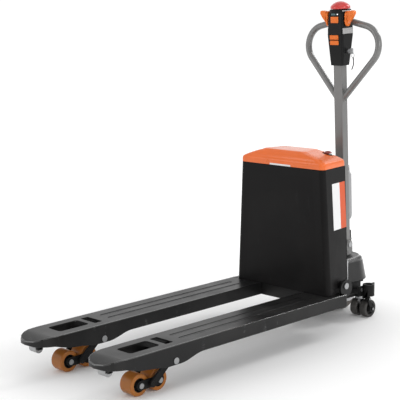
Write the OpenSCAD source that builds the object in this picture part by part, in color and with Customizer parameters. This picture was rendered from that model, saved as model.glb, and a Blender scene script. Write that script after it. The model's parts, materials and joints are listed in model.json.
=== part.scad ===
// Electric pallet truck: a drive base on the floor carries a lift frame with
// two forks, a battery box and a tiller. +X points from the fork tips to the
// tiller, +Y to the left of the driver's travel, +Z up. The origin lies on the
// floor under the middle of the overall box. Heights are at the rest pose.

/* [Forks] */
// Width over both forks
fork_span = 550; // [500:5:700]
// Length of the forks in front of the battery box
fork_len = 1150; // [950:10:1400]
// Width of one fork
fork_w = 160; // [150:1:180]
// Depth of a fork's straight section
fork_t = 50; // [44:1:60]
// Height of the load face in the rest pose
fork_top = 165; // [160:1:175]
// Thickness of a fork's top plate
plate_t = 6; // [5:0.5:8]
// Thickness of a fork's side walls
cheek_t = 6; // [4:0.5:8]
// Length of the rounded nose
nose_len = 130; // [90:5:170]
// Drop of the nose's top at the tip
nose_drop = 16; // [8:1:20]
// Width of the pressed ribs
rib_w = 14; // [8:1:20]
// Depth of the pressed ribs
rib_d = 1.2; // [0.6:0.1:2]

/* [Load rollers] */
// Diameter of a load roller
roller_d = 80; // [74:1:84]
// Width of a load roller
roller_w = 60; // [50:1:66]
// Distance between the two rollers of one fork
roller_pitch = 88; // [86:1:96]
// Distance from the fork tip to the load arm's pivot
pivot_from_tip = 301; // [290:1:320]
// Height of the load arm's pivot
pivot_z = 108.8; // [104:0.2:114]
// Distance from the pivot to the middle of the rollers, along the fork
arm_reach = 83.6; // [78:0.2:88]
// Diameter of the pivot pins
pivot_d = 20; // [16:1:24]
// Height of the push rod's lug above the pivot
lug_r = 30; // [26:1:32]
// Diameter of the entry roller under the nose
entry_d = 34; // [28:1:38]
// Width of the entry roller
entry_w = 40; // [30:1:50]

/* [Battery box] */
// Width of the box at its foot
box_w = 504; // [460:2:560]
// Width of the box at its top
box_top_w = 444; // [400:2:504]
// Depth of the box at its top
box_d = 168; // [150:1:200]
// Height of the box's top edge
box_top = 672; // [600:2:760]
// Thickness of the box's sheet
sheet_t = 3; // [2:0.5:4]
// Height of the lid's crown above the box
lid_h = 68; // [50:1:90]
// Wall of the lid
lid_wall = 3; // [2:0.5:5]
// Height of one battery
battery_h = 225; // [180:5:260]

/* [Drive] */
// Distance from the box's front to the steering axis
steer_x = 390; // [370:1:430]
// Radius of the drive cover's rear
cover_r = 110; // [108:1:120]
// Height of the drive cover's top
cover_top = 240; // [236:1:250]
// Diameter of the drive wheel
wheel_d = 170; // [160:1:172]
// Width of the drive wheel
wheel_w = 46; // [40:1:48]
// Diameter of the steering column
column_d = 60; // [50:1:66]
// Diameter of a castor wheel
castor_d = 76; // [70:1:78]
// Width of one castor wheel
castor_w = 34; // [30:1:35]

/* [Tiller] */
// Height of the tiller's pivot
tiller_z = 285; // [280:1:300]
// Distance of the tiller's pivot behind the steering axis
tiller_back = 21; // [15:1:26]
// Lean of the upright tiller towards the forks, in degrees
tiller_lean = 2.1; // [0:0.1:6]
// Width of the mast
mast_w = 45; // [40:1:50]
// Depth of the mast
mast_d = 40; // [34:1:44]
// Height of the control head's foot above the pivot
head_z = 776; // [700:2:860]
// Width over the handle loop
loop_w = 403; // [340:5:480]
// Diameter of the handle loop's tube
loop_d = 28; // [22:1:32]
// Diameter of the tiller's pivot pin
tiller_pin_d = 16; // [12:1:20]

/* [Fits] */
// Radial clearance of a running fit
run = 0.06; // [0.02:0.01:0.10]

/* [Hidden] */
$fn = 48;

rear_len = steer_x + cover_r;
datum_x = (fork_len - rear_len) / 2;
fork_y = (fork_span - fork_w) / 2;
tip_x = -fork_len;
fork_low = fork_top - fork_t;
seat_z = fork_top - 0.4;
cheek_end_x = 91;
pivot_x = tip_x + pivot_from_tip;
bogie_x = pivot_x - arm_reach;
roller_z = roller_d / 2;
window_l = 136;
window_w = 76;
slot_l = 34;
slot_w = 86;
rocker_x = 99;
rocker_z = 196;
rocker_d = 30;
rod_z = pivot_z + lug_r;
rod_pin_d = 10;
link_reach = 204;
link_pin_d = 16;
link_x = rocker_x + link_reach;
link_y = 62;
base_z = 95;
base_t = 12;
wing_y = 172;
tower_in = 92;
neck_in = 80;
tower_t = 5;
bridge_z = 206;
cover_low = base_z + base_t + 34;
bridge_t = 10;
castor_y = 152;
castor_x = 338;
castor_trail = 16;
boss_y = 185;
boss_x = 350;
castor_swivel_z = base_z - 0.3;
cylinder_x = 225;
cylinder_d = 50;
ram_d = 30;
crosshead_z = 470;
rear_box_in = 22;
floor_z = fork_top + 78;
lid_pivot_x = box_d + 6;
lid_pivot_z = box_top + 14;
lid_pin_d = 8;
tiller_x = steer_x + tiller_back;
spring_x = 38;
loop_lean = 0.092;
spring_eye_x = 30;
spring_eye_z = -23.4;
eye_x = tiller_x + spring_eye_x * cos(tiller_lean) - spring_eye_z * sin(tiller_lean);
eye_z = tiller_z + spring_eye_x * sin(tiller_lean) + spring_eye_z * cos(tiller_lean);

// Puts what was built from the box's front foot into the part's own frame.
module placed() {
    translate([datum_x, 0, 0]) children();
}

// Places children in the frame of the leaning tiller.
module on_tiller() {
    translate([tiller_x, 0, tiller_z]) rotate([0, -tiller_lean, 0]) children();
}

// Cylinder along Y, centred.
module rod_y(d, l) {
    rotate([90, 0, 0]) cylinder(d = d, h = l, center = true);
}

// Cylinder along X, centred.
module rod_x(d, l) {
    rotate([0, 90, 0]) cylinder(d = d, h = l, center = true);
}

// Upright block with rounded vertical edges, standing on z = 0.
module block(l, w, h, r) {
    linear_extrude(h) rounded(l, w, r);
}

// Flat rectangle with round corners.
module rounded(l, w, r) {
    square([l - 2 * r, w], center = true);
    square([l, w - 2 * r], center = true);
    for (i = [-1, 1], j = [-1, 1]) {
        translate([i * (l / 2 - r), j * (w / 2 - r)]) circle(r);
    }
}

// Flat bar in the XZ plane between two points, w thick along Y.
module link_bar(x1, z1, x2, z2, r, w) {
    len = norm([x2 - x1, z2 - z1]);
    angle = atan2(z2 - z1, x2 - x1);
    h = r * 0.96;
    t = w - 0.6;
    translate([x1, 0, z1]) rod_y(2 * r, w);
    translate([x2, 0, z2]) rod_y(2 * r, w);
    translate([x1, 0, z1]) rotate([0, -angle, 0]) translate([0, -t / 2, -h]) cube([len, t, 2 * h]);
}

function smooth(t) = t * t * (3 - 2 * t);
function nose_half(hw, u) = hw * pow(1 - pow(u, 2.4), 1 / 2.4);

// ---- Lift frame ----------------------------------------------------------

// Plan of one fork inside a margin.
module fork_plan(margin) {
    hw = fork_w / 2 - margin;
    start = tip_x + nose_len;
    reach = nose_len - margin;
    steps = 14;
    right = [for (i = [0:steps]) [start - reach * i / steps, -nose_half(hw, i / steps)]];
    left = [for (i = [steps - 1:-1:0]) [start - reach * i / steps, nose_half(hw, i / steps)]];
    polygon(concat([[cheek_end_x, hw], [cheek_end_x, -hw]], right, left));
}

// Side view of one fork: nose, roller bay, neck and straight section.
module fork_side() {
    top = fork_top;
    bay_rear = pivot_x + 25;
    neck = pivot_x + 133;
    curve = [for (i = [0:8]) [bay_rear + (neck - bay_rear) * i / 8,
        top - 71 + (71 - fork_t) * smooth(i / 8)]];
    nose = [for (i = [0:5]) [tip_x + 66 * (1 - i / 5), top - nose_drop * pow(i / 5, 1.6)]];
    polygon(concat(nose,
        [[tip_x, top - nose_drop - 14], [tip_x + 20, top - 34], [tip_x + 78, top - 38],
        [tip_x + 134, top - 54], [tip_x + 203, top - 62], [pivot_x - 42, top - 71]],
        curve, [[cheek_end_x, top - fork_t], [cheek_end_x, top]]));
}

// One fork: pressed top plate with side walls, nose, window, slot, ribs and the box's seat.
module fork() {
    difference() {
        intersection() {
            rotate([90, 0, 0]) linear_extrude(fork_w + 2, center = true) fork_side();
            linear_extrude(fork_top + 1) fork_plan(0);
        }
        difference() {
            linear_extrude(fork_top - plate_t) fork_plan(cheek_t);
            translate([tip_x - 1, -fork_w, 0]) cube([35, 2 * fork_w, fork_top]);
            translate([tip_x + 30, -fork_w / 2, fork_top - nose_drop - 10]) cube([50, fork_w, 40]);
        }
        translate([bogie_x - 20, 0, fork_top - plate_t - 2]) block(window_l, window_w, 20, 12);
        translate([pivot_x + 4, 0, fork_top - plate_t - 2]) block(slot_l, slot_w, 20, 4);
        for (i = [-1, 1]) {
            translate([tip_x / 2 + 150, i * 24, fork_top - rib_d]) block(-tip_x * 0.62, rib_w, 5, rib_w / 2 - 0.1);
        }
        translate([pivot_x, 0, pivot_z]) rod_y(pivot_d + 2 * run, fork_w + 10);
        translate([cheek_end_x - 22, -14, fork_top - 20]) cube([30, 28, 30]);
        translate([-0.3, -fork_w, seat_z]) cube([cheek_end_x + 2, 2 * fork_w, 10]);
        translate([tip_x + 48, 0, fork_top - 50]) rod_y(entry_d + 5, entry_w + 4);
        translate([tip_x + 48, 0, fork_top - 50]) rod_y(8 + 2 * run, entry_w + 24);
    }
    for (i = [-1, 1]) {
        difference() {
            translate([tip_x + 48, i * (entry_w / 2 + 5), fork_top - 39]) {
                translate([-11, -3, -14]) cube([22, 6, 30]);
            }
            translate([tip_x + 48, 0, fork_top - 50]) rod_y(8 + 2 * run, entry_w + 40);
        }
    }
}

module fork_right() {
    color([0.18, 0.18, 0.18]) placed() translate([0, -fork_y, 0]) fork();
}

module fork_left() {
    color([0.18, 0.18, 0.18]) placed() translate([0, fork_y, 0]) fork();
}

// Cross plate between the forks and the ear plates beside the box's foot.
module heel_frame() {
    inner = fork_span - 2 * fork_w;
    color([0.16, 0.16, 0.16]) placed() {
        translate([6, -inner / 2, fork_low]) cube([10, inner, fork_t]);
        translate([16, -inner / 2, fork_top - 8]) cube([60, inner, 8]);
        for (i = [-1, 1]) translate([0, i * (box_w / 2 + 6), 0]) {
            difference() {
                union() {
                    translate([78, -5, seat_z]) cube([46, 10, 36]);
                    translate([104, 0, fork_top + 20]) rod_y(72, 10);
                }
                translate([0, -6, seat_z - 60]) cube([cheek_end_x + 0.5, 12, 60]);
                translate([rocker_x, 0, rocker_z]) rod_y(rocker_d / 2 + 2 * run, 12);
            }
        }
    }
}

// Outline of the box in plan between two margins at a share t of its height.
module box_plan(t, margin) {
    front = (box_w + (box_top_w - box_w) * t) / 2 - margin;
    rear = front - rear_box_in;
    deep = box_d - (1 - t) * 16 - margin;
    r = 20 - margin;
    union() {
        polygon([[r + margin, -front], [deep, -rear], [deep, rear], [r + margin, front],
            [margin, front - r], [margin, -front + r]]);
        for (i = [-1, 1]) translate([r + margin, i * (front - r)]) circle(r);
    }
}

// Solid of the box's outer shape inside a margin.
module box_solid(margin, low, high) {
    t1 = (low - fork_top) / (box_top - fork_top);
    t2 = (high - fork_top) / (box_top - fork_top);
    hull() {
        translate([0, 0, low]) linear_extrude(0.5) box_plan(t1, margin);
        translate([0, 0, high - 0.5]) linear_extrude(0.5) box_plan(t2, margin);
    }
}

// Tapered sheet box with a floor, open at the top, and the ram's crosshead.
module battery_box() {
    color([0.13, 0.13, 0.13]) placed() difference() {
        union() {
            difference() {
                box_solid(0, seat_z, box_top);
                box_solid(sheet_t, floor_z, box_top + 2);
                box_solid(sheet_t, fork_top - 2, floor_z - 6);
            }
            translate([box_d - 10, -45, crosshead_z]) cube([cylinder_x - box_d + 35, 90, 12]);
            for (i = [-1, 1]) translate([box_d - 10, i * 40 - 4, crosshead_z - 40]) {
                cube([20, 8, 40]);
            }
            for (i = [-1, 1]) translate([box_d - 5, i * 120 - 15, lid_pivot_z - 22]) {
                cube([8, 30, 16]);
                translate([11, 15, 22]) rod_y(16, 30);
                translate([5, 0, 10]) cube([8, 30, 12]);
            }
        }
        translate([cylinder_x, 0, crosshead_z - 1]) cylinder(d = 16 + 2 * run, h = 20);
        translate([lid_pivot_x, 0, lid_pivot_z]) rod_y(lid_pin_d + 2 * run, 300);
        translate([box_d - 30, -150, fork_top - 1]) cube([40, 300, floor_z - 6 - fork_top]);
        translate([rocker_x, 0, rocker_z]) rod_y(rocker_d + 4, box_w + 40);
    }
}

// Two sealed batteries with their posts and a link between them.
module batteries() {
    color([0.25, 0.27, 0.3]) placed() translate([84, 0, floor_z]) {
        for (i = [-1, 1]) {
            translate([0, i * 86, 0]) block(130, 164, battery_h, 6);
            for (j = [-1, 1]) translate([0, i * 86 + 55 * j, battery_h]) cylinder(d = 14, h = 12);
        }
        translate([0, 0, battery_h + 14]) cube([22, 84, 4], center = true);
    }
}

// Finned controller on the box's front wall side.
module controller() {
    color("silver") placed() translate([sheet_t + 50, -95, floor_z + battery_h + 22]) {
        translate([-50, -50, 0]) cube([100, 100, 12]);
        for (i = [-4:4]) translate([i * 11 - 2, -50, 12]) cube([4, 100, 24]);
    }
}

// Built-in charger beside the controller.
module charger() {
    color([0.5, 0.5, 0.52]) placed() translate([sheet_t + 55, 75, floor_z + battery_h + 22]) {
        block(110, 130, 60, 6);
    }
}

// Moulded lid: a skirt, a raised crown and two hinge knuckles.
module lid() {
    w = box_top_w;
    color([0.91, 0.38, 0.12]) placed() difference() {
        union() {
            hull() {
                translate([0, 0, box_top + 0.5]) linear_extrude(26) box_plan(1, -1);
                translate([74, 18, box_top + lid_h - 6]) block(84, w * 0.36, 6, 24);
                translate([84, 0, box_top + lid_h - 30]) block(142, w - 56, 6, 20);
            }
            for (i = [-1, 1], j = [-1, 1]) translate([lid_pivot_x, i * 120 + j * 22, lid_pivot_z]) {
                rod_y(15, 12);
                translate([-9, -6, -1]) cube([10, 12, 9]);
            }
        }
        hull() {
            translate([0, 0, box_top]) linear_extrude(22) box_plan(1, lid_wall);
            translate([74, 18, box_top + lid_h - 16]) block(74, w * 0.34, 6, 22);
            translate([84, 0, box_top + lid_h - 40]) block(126, w - 84, 6, 20);
        }
        for (i = [-1, 1]) translate([lid_pivot_x - 14, i * 120 - 16, box_top - 5]) cube([24, 32, 60]);
        translate([lid_pivot_x, 0, lid_pivot_z]) rod_y(lid_pin_d + 2 * run, 340);
        translate([stop_x, stop_y, box_top]) cylinder(d = 22, h = lid_h + 10);
        translate([stop_x, stop_y, stop_z]) cylinder(d = 46, h = lid_h);
    }
}
stop_x = 136;
stop_y = -137;
stop_z = box_top + 38;

// Collar of the stop button, set in the lid's rear corner.
module emergency_stop_collar() {
    color([0.1, 0.1, 0.1]) placed() translate([stop_x, stop_y, stop_z]) difference() {
        union() {
            cylinder(d = 38, h = 6);
            translate([0, 0, -26]) cylinder(d = 21.4, h = 26);
        }
        translate([0, 0, -27]) cylinder(d = 12 + 2 * run, h = 40);
    }
}

// Mushroom stop button.
module emergency_stop() {
    color([0.7, 0.08, 0.06]) placed() translate([stop_x, stop_y, stop_z]) {
        translate([0, 0, -16]) cylinder(d = 12, h = 30);
        translate([0, 0, 11]) rotate_extrude() {
            intersection() {
                translate([0, -14]) circle(r = 24);
                square([17, 12]);
            }
            square([16, 3]);
        }
    }
}

// ---- Linkage and load rollers ---------------------------------------------

// Shaft across the frame with arms down to the push rods and back to the base.
module rocker() {
    color([0.22, 0.22, 0.23]) placed() translate([rocker_x, 0, rocker_z]) {
        difference() {
            rod_y(rocker_d, box_w - 2 * sheet_t - 6);
            for (i = [-1, 1]) translate([0, i * box_w / 2, 0]) rod_y(rocker_d / 2 + 2 * run, 60);
        }
        for (i = [-1, 1]) {
            translate([0, i * fork_y, 0]) difference() {
                link_bar(0, 0, 0, rod_z - rocker_z - 5, 12, 12);
                link_bar(0, rod_z - rocker_z - 1, 0, rod_z - rocker_z - 6, rod_pin_d / 2 + 1.6, 20);
            }
            translate([0, i * (link_y + 13), 0]) link_bar(0, 0, link_reach, 0, 13, 10);
            translate([link_reach, i * (link_y + 3), 0]) rod_y(link_pin_d, 26);
        }
    }
}

// Push rod: a bar with a fork and pin at the rocker and a slotted fork at the arm.
module push_rod(side) {
    length = rocker_x - pivot_x;
    placed() translate([rocker_x, side * fork_y, rod_z]) {
        translate([-length / 2, 0, 0]) rod_x(14, length - 90);
        rod_y(rod_pin_d, 26);
        for (i = [-1, 1]) translate([0, i * 10, 0]) {
            difference() {
                link_bar(-46, 0, 0, 0, 9, 6);
                rod_y(rod_pin_d - 2, 20);
            }
        }
        translate([-40, 0, 0]) cube([12, 26, 18], center = true);
        translate([-length, 0, 0]) {
            for (i = [-1, 1]) translate([0, i * 11, 0]) difference() {
                link_bar(0, 0, 50, 0, 10, 6);
                link_bar(0, -0.6, 0, -14, rod_pin_d / 2 + 1.3, 20);
            }
            translate([44, 0, 0]) cube([12, 28, 20], center = true);
        }
    }
}

module push_rod_right() { color("dimgray") push_rod(-1); }
module push_rod_left() { color("dimgray") push_rod(1); }

// Load arm: pivot tube, lug with its pin, and two side plates down to the bogie.
module load_arm(side) {
    arm_y = roller_w / 2 + 19.5;
    placed() translate([pivot_x, side * fork_y, pivot_z]) {
        difference() {
            union() {
                rod_y(34, 140);
                for (i = [-1, 1]) translate([0, i * arm_y, 0]) {
                    link_bar(0, 0, -arm_reach, roller_z - pivot_z, 13, 9);
                }
                link_bar(0, 0, 0, lug_r, 9, 14);
            }
            rod_y(pivot_d + 2 * run, 160);
            translate([-arm_reach, 0, roller_z - pivot_z]) rod_y(16 + 2 * run, 160);
        }
        translate([0, 0, lug_r]) rod_y(rod_pin_d, 30);
    }
}

module load_arm_right() { color([0.15, 0.15, 0.15]) load_arm(-1); }
module load_arm_left() { color([0.15, 0.15, 0.15]) load_arm(1); }

// Bogie: two side plates on a common pin, carrying the two rollers' axles.
module bogie(side) {
    plate_y = roller_w / 2 + 5;
    placed() translate([bogie_x, side * fork_y, roller_z]) {
        for (i = [-1, 1]) translate([0, i * plate_y, 0]) difference() {
            link_bar(-roller_pitch / 2, 0, roller_pitch / 2, 0, 17, 6);
            for (j = [-1, 1]) translate([j * roller_pitch / 2, 0, 0]) rod_y(16, 20);
        }
        for (i = [-1, 1]) translate([0, i * (roller_w / 2 + 13), 0]) rod_y(16, 22);
    }
}

module bogie_right() { color([0.12, 0.12, 0.12]) bogie(-1); }
module bogie_left() { color([0.12, 0.12, 0.12]) bogie(1); }

// The two axle screws of a bogie.
module bogie_bolts(side) {
    placed() translate([bogie_x, side * fork_y, roller_z]) for (j = [-1, 1]) {
        translate([j * roller_pitch / 2, 0, 0]) {
            rod_y(16, roller_w + 16);
            for (i = [-1, 1]) translate([0, i * (roller_w / 2 + 10.5), 0]) rod_y(20, 5);
        }
    }
}

module bogie_bolts_right() { color("silver") bogie_bolts(-1); }
module bogie_bolts_left() { color("silver") bogie_bolts(1); }

// Load roller: hub with bore, and a tread with rounded rims.
module load_roller(side, end) {
    r = roller_d / 2;
    h = roller_w / 2;
    placed() translate([bogie_x + end * roller_pitch / 2, side * fork_y, roller_z]) {
        rotate([90, 0, 0]) rotate_extrude($fn = 64) {
            polygon([[8 + run, -h + 1], [24, -h + 1], [24, -h + 4], [r - 14, -h + 4], [r - 14, -h],
                [r - 4, -h], [r - 1, -h + 1.5], [r, -h + 5], [r, h - 5], [r - 1, h - 1.5], [r - 4, h],
                [r - 14, h], [r - 14, h - 4], [24, h - 4], [24, h - 1], [8 + run, h - 1]]);
        }
    }
}

module load_roller_right_front() { color([0.78, 0.45, 0.13]) load_roller(-1, -1); }
module load_roller_right_rear() { color([0.78, 0.45, 0.13]) load_roller(-1, 1); }
module load_roller_left_front() { color([0.78, 0.45, 0.13]) load_roller(1, -1); }
module load_roller_left_rear() { color([0.78, 0.45, 0.13]) load_roller(1, 1); }

// Entry roller with its own short axle.
module entry_roller(side) {
    placed() translate([tip_x + 48, side * fork_y, fork_top - 50]) {
        rod_y(entry_d, entry_w);
        rod_y(8, entry_w + 15);
    }
}

module entry_roller_right() { color("silver") entry_roller(-1); }
module entry_roller_left() { color("silver") entry_roller(1); }

// Screws through both forks at the arms' pivots.
module pivot_pins() {
    color("silver") placed() for (i = [-1, 1]) {
        translate([pivot_x, i * fork_y, pivot_z]) {
            rod_y(pivot_d, fork_w + 0.4);
            for (j = [-1, 1]) translate([0, j * (fork_w / 2 + 1.4), 0]) rod_y(24, 2.4);
        }
    }
}

// Screws that hold the rocker's ends in the ear plates.
module frame_bolts() {
    color("silver") placed() for (i = [-1, 1]) {
        translate([rocker_x, i * (box_w / 2 - 8), rocker_z]) {
            rod_y(rocker_d / 2, 42);
            translate([0, i * 22, 0]) rod_y(26, 4.6);
        }
    }
}

// ---- Drive base -------------------------------------------------------------

// Base plate with wings, tower with the steering bearing's seat, lugs and bosses.
module chassis() {
    color([0.1, 0.1, 0.1]) placed() {
        difference() {
            union() {
                translate([190, -152, base_z]) cube([steer_x + 20 - 190, 304, base_t]);
                translate([300, -wing_y, base_z]) cube([steer_x + 20 - 300, 2 * wing_y, base_t]);
                for (i = [-1, 1]) translate([boss_x, i * boss_y, base_z]) {
                    cylinder(d = 50, h = 50);
                    translate([-15, -i * 12 - 12, 0]) cube([30, 24, base_t]);
                }
                for (i = [-1, 1]) {
                    translate([steer_x - 60, i * (tower_in + tower_t / 2) - tower_t / 2, base_z]) {
                        cube([80, tower_t, 44]);
                    }
                    translate([steer_x - 60, i * (neck_in + 15) - 16, cover_low - 6]) cube([80, 32, 6]);
                    translate([steer_x - 60, i * (neck_in + 2) - 2, base_z + 39]) {
                        cube([80, 4, bridge_z + bridge_t - base_z - 39]);
                    }
                    translate([link_x - 38, i * link_y - 5, base_z + base_t - 1]) cube([60, 10, 116]);
                    translate([300, i * (wing_y - 3) - 3, base_z]) cube([steer_x + 20 - 300, 6, 44]);
                }
                translate([steer_x - 60, -neck_in - 1, bridge_z]) cube([80, 2 * neck_in + 2, bridge_t]);
                translate([steer_x, 0, bridge_z]) cylinder(d = 118, h = bridge_t);
            }
            translate([steer_x, 0, base_z - 1]) cylinder(r = tower_in - 0.5, h = base_t + 2);
            translate([steer_x, 0, bridge_z - 1]) cylinder(d = column_d + 24, h = bridge_t + 2);
            for (i = [-1, 1]) {
                translate([boss_x, i * boss_y, base_z + 14]) cylinder(d = 34, h = 40);
                translate([boss_x, i * boss_y, base_z - 1]) cylinder(d = 16 + 2 * run, h = 20);
                translate([link_x, i * link_y, 0]) {
                    link_bar(-20, rocker_z, 4, rocker_z, link_pin_d / 2 + 3, 12);
                }
                translate([castor_x, i * castor_y, base_z - 1]) cylinder(d = 12 + 2 * run, h = 20);
            }
            translate([cylinder_x, 0, base_z + base_t - 6]) cylinder(d = 40 + 2 * run, h = 10);
        }
    }
}

// Bearing ring of the steering column, pressed in the bridge plate.
module slew_ring() {
    color("silver") placed() translate([steer_x, 0, bridge_z]) difference() {
        union() {
            cylinder(d = column_d + 24, h = bridge_t + 4);
            translate([0, 0, bridge_t]) cylinder(d = column_d + 34, h = 4);
        }
        translate([0, 0, -1]) cylinder(d = column_d + 2 * run, h = bridge_t + 8);
    }
}

// Plan of the drive cover inside a margin, for a given rear radius.
module cover_plan(r, front) {
    translate([steer_x, 0]) circle(r);
    translate([front, -r]) square([steer_x - front, 2 * r]);
}

// Rounded shell over the drive, open below, with a hole for the column.
module drive_cover() {
    low = cover_low;
    color([0.17, 0.17, 0.17]) placed() difference() {
        hull() {
            translate([0, 0, low]) linear_extrude(1) cover_plan(cover_r, 305);
            translate([0, 0, cover_top - 14]) linear_extrude(1) cover_plan(cover_r - 15, 310);
            translate([0, 0, cover_top - 1]) linear_extrude(1) cover_plan(cover_r - 28, 322);
        }
        hull() {
            translate([0, 0, low - 1]) linear_extrude(1) cover_plan(cover_r - 2.5, 308);
            translate([0, 0, cover_top - 18]) linear_extrude(1) cover_plan(cover_r - 17.5, 313);
            translate([0, 0, cover_top - 4.5]) linear_extrude(1) cover_plan(cover_r - 30.5, 325);
        }
        translate([steer_x, 0, cover_top - 20]) cylinder(d = column_d + 6, h = 30);
        translate([steer_x - cover_r - 10, -82, low - 1]) cube([50, 164, 84]);
    }
}

// Oil tank, valve block and motor of the lifting pump.
module pump_unit() {
    color([0.3, 0.31, 0.33]) placed() translate([232, 0, base_z + base_t]) {
        translate([0, 117, 0]) block(64, 62, 70, 8);
        translate([0, 117, 70]) cylinder(d = 56, h = 120);
        translate([0, -117, 0]) block(64, 62, 150, 10);
        translate([0, -117, 150]) cylinder(d = 22, h = 12);
    }
}

// Barrel of the lifting cylinder on its seat in the base plate.
module lift_cylinder() {
    color([0.2, 0.2, 0.2]) placed() translate([cylinder_x, 0, base_z + base_t]) difference() {
        union() {
            translate([0, 0, -6]) cylinder(d = 40, h = 10);
            cylinder(d = cylinder_d, h = 268);
            translate([0, 0, 254]) cylinder(d = cylinder_d + 8, h = 16);
        }
        translate([0, 0, 20]) cylinder(d = ram_d + 2 * run, h = 300);
    }
}

// Ram of the lifting cylinder with its stud in the crosshead.
module lift_ram() {
    low = base_z + base_t + 108;
    color("silver") placed() translate([cylinder_x, 0, 0]) {
        translate([0, 0, low]) cylinder(d = ram_d, h = crosshead_z - low);
        translate([0, 0, crosshead_z]) cylinder(d = 16, h = 16);
        translate([0, 0, crosshead_z + 12]) cylinder(d = 26, h = 8);
    }
}

// Castor fork: swivel head and stud above, one leg with the wheels' axle.
module castor_fork(side) {
    placed() translate([castor_x, side * castor_y, 0]) {
        translate([0, 0, castor_swivel_z - 12]) cylinder(d = 46, h = 12);
        translate([0, 0, castor_swivel_z - 1]) cylinder(d = 12, h = base_t + 4);
        translate([0, 0, castor_swivel_z + base_t + 0.6]) cylinder(d = 19, h = 8);
        link_bar(0, castor_swivel_z - 22, castor_trail, castor_d / 2, 12, 13);
        translate([castor_trail, 0, castor_d / 2]) rod_y(12, 2 * castor_w + 18);
    }
}

module castor_fork_right() { color("silver") castor_fork(-1); }
module castor_fork_left() { color("silver") castor_fork(1); }

// Guard plate outside the castor's wheels, bolted on the swivel head.
module castor_guard(side) {
    out = side * (castor_w + 13);
    placed() translate([castor_x, side * castor_y, 0]) difference() {
        union() {
            translate([0, out, 0]) {
                link_bar(-4, castor_swivel_z - 9, castor_trail, castor_d / 2, 9, 5);
                translate([castor_trail, 0, castor_d / 2]) rod_y(30, 5);
            }
            translate([-13, min(out, side * 10), castor_swivel_z - 9]) cube([18, castor_w + 3, 9]);
            translate([castor_trail, out + side * 4.5, castor_d / 2]) rod_y(14, 4);
            translate([-4, out + side * 4.5, castor_swivel_z - 9]) rod_y(14, 4);
        }
        translate([0, 0, castor_swivel_z - 20]) cylinder(d = 47, h = 30);
        translate([castor_trail, 0, castor_d / 2]) rod_y(12 + 2 * run, 2 * castor_w + 20);
    }
}

module castor_guard_right() { color([0.08, 0.08, 0.08]) castor_guard(-1); }
module castor_guard_left() { color([0.08, 0.08, 0.08]) castor_guard(1); }

// Castor wheel with a dished web.
module castor_wheel(side, out) {
    h = castor_w / 2 - 0.5;
    r = castor_d / 2;
    y = side * castor_y + out * (castor_w / 2 + 7.5);
    placed() translate([castor_x + castor_trail, y, castor_d / 2]) {
        rotate([90, 0, 0]) rotate_extrude($fn = 64) {
            polygon([[6 + run, -h], [15, -h], [15, -h + 4], [r - 10, -h + 4], [r - 10, -h], [r - 4, -h],
                [r, -h + 6], [r, h - 6], [r - 4, h], [r - 10, h], [r - 10, h - 4], [15, h - 4], [15, h],
                [6 + run, h]]);
        }
    }
}

module castor_wheel_right_outer() { color([0.1, 0.1, 0.1]) castor_wheel(-1, -1); }
module castor_wheel_right_inner() { color([0.1, 0.1, 0.1]) castor_wheel(-1, 1); }
module castor_wheel_left_outer() { color([0.1, 0.1, 0.1]) castor_wheel(1, 1); }
module castor_wheel_left_inner() { color([0.1, 0.1, 0.1]) castor_wheel(1, -1); }

// Screws on the base's wings.
module chassis_bolts() {
    color("silver") placed() for (i = [-1, 1], x = [318, 396]) {
        translate([x, i * (wing_y + 2), base_z + 28]) rod_y(14, 4);
    }
}

// Gearbox with the yoke over the wheel, its axle and the steering column.
module drive_gearbox() {
    half = wheel_w / 2;
    top = bridge_z - 2;
    color([0.45, 0.46, 0.48]) placed() translate([steer_x, 0, 0]) {
        translate([0, -half - 15, wheel_d / 2]) rod_y(92, 24);
        for (i = [-1, 1]) translate([-22, i * (half + 9) - 6, wheel_d / 2 + 3]) {
            cube([44, 12, top - wheel_d / 2 - 3]);
        }
        translate([0, 0, top - 8]) cylinder(d = 96, h = 8);
        translate([0, 0, top]) cylinder(d = column_d, h = cover_top + 3 - top);
        translate([0, 0, wheel_d / 2]) rod_y(24, 2 * half + 22);
    }
}

// Drive motor on the yoke's other side.
module drive_motor() {
    half = wheel_w / 2;
    color([0.15, 0.15, 0.16]) placed() translate([steer_x, half + 15 + 16, wheel_d / 2]) {
        rod_y(80, 32);
        for (i = [0:11]) rotate([0, i * 30, 0]) translate([39, -13, -1.2]) cube([3, 26, 2.4]);
    }
}

// Drive wheel with its hub.
module drive_wheel() {
    h = wheel_w / 2;
    r = wheel_d / 2;
    color([0.25, 0.22, 0.2]) placed() translate([steer_x, 0, r]) {
        rotate([90, 0, 0]) rotate_extrude($fn = 96) {
            polygon([[12 + run, -h], [r - 3, -h], [r, -h + 3], [r, h - 3], [r - 3, h], [12 + run, h]]);
        }
    }
}

// ---- Tiller -------------------------------------------------------------------

// Cast foot of the tiller: disc on the column, two ears and the spring's eye.
module tiller_base() {
    z = cover_top + 3;
    half = mast_w / 2 + 1;
    color([0.5, 0.5, 0.5]) placed() difference() {
        union() {
            translate([steer_x, 0, z]) cylinder(d = 90, h = 10);
            for (i = [-1, 1]) translate([0, i * (half + 6), 0]) {
                translate([0, 0, 0]) link_bar(tiller_x, tiller_z, tiller_x, z + 14, 19, 12);
                link_bar(steer_x - 30, z + 10, tiller_x, tiller_z, 10, 12);
            }
            for (i = [-1, 1]) translate([0, i * 13, 0]) {
                difference() {
                    link_bar(tiller_x - 8, z + 5, eye_x, eye_z, 7.5, 8);
                    translate([0, -20, z - 30]) cube([600, 40, 30]);
                }
            }
        }
        translate([tiller_x, 0, tiller_z]) rod_y(tiller_pin_d + 2 * run, 100);
        translate([0, -100, z - 40]) cube([600, 200, 40]);
    }
    color([0.5, 0.5, 0.5]) placed() {
        translate([eye_x, 0, eye_z]) rod_y(8, 26);
    }
}

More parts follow.
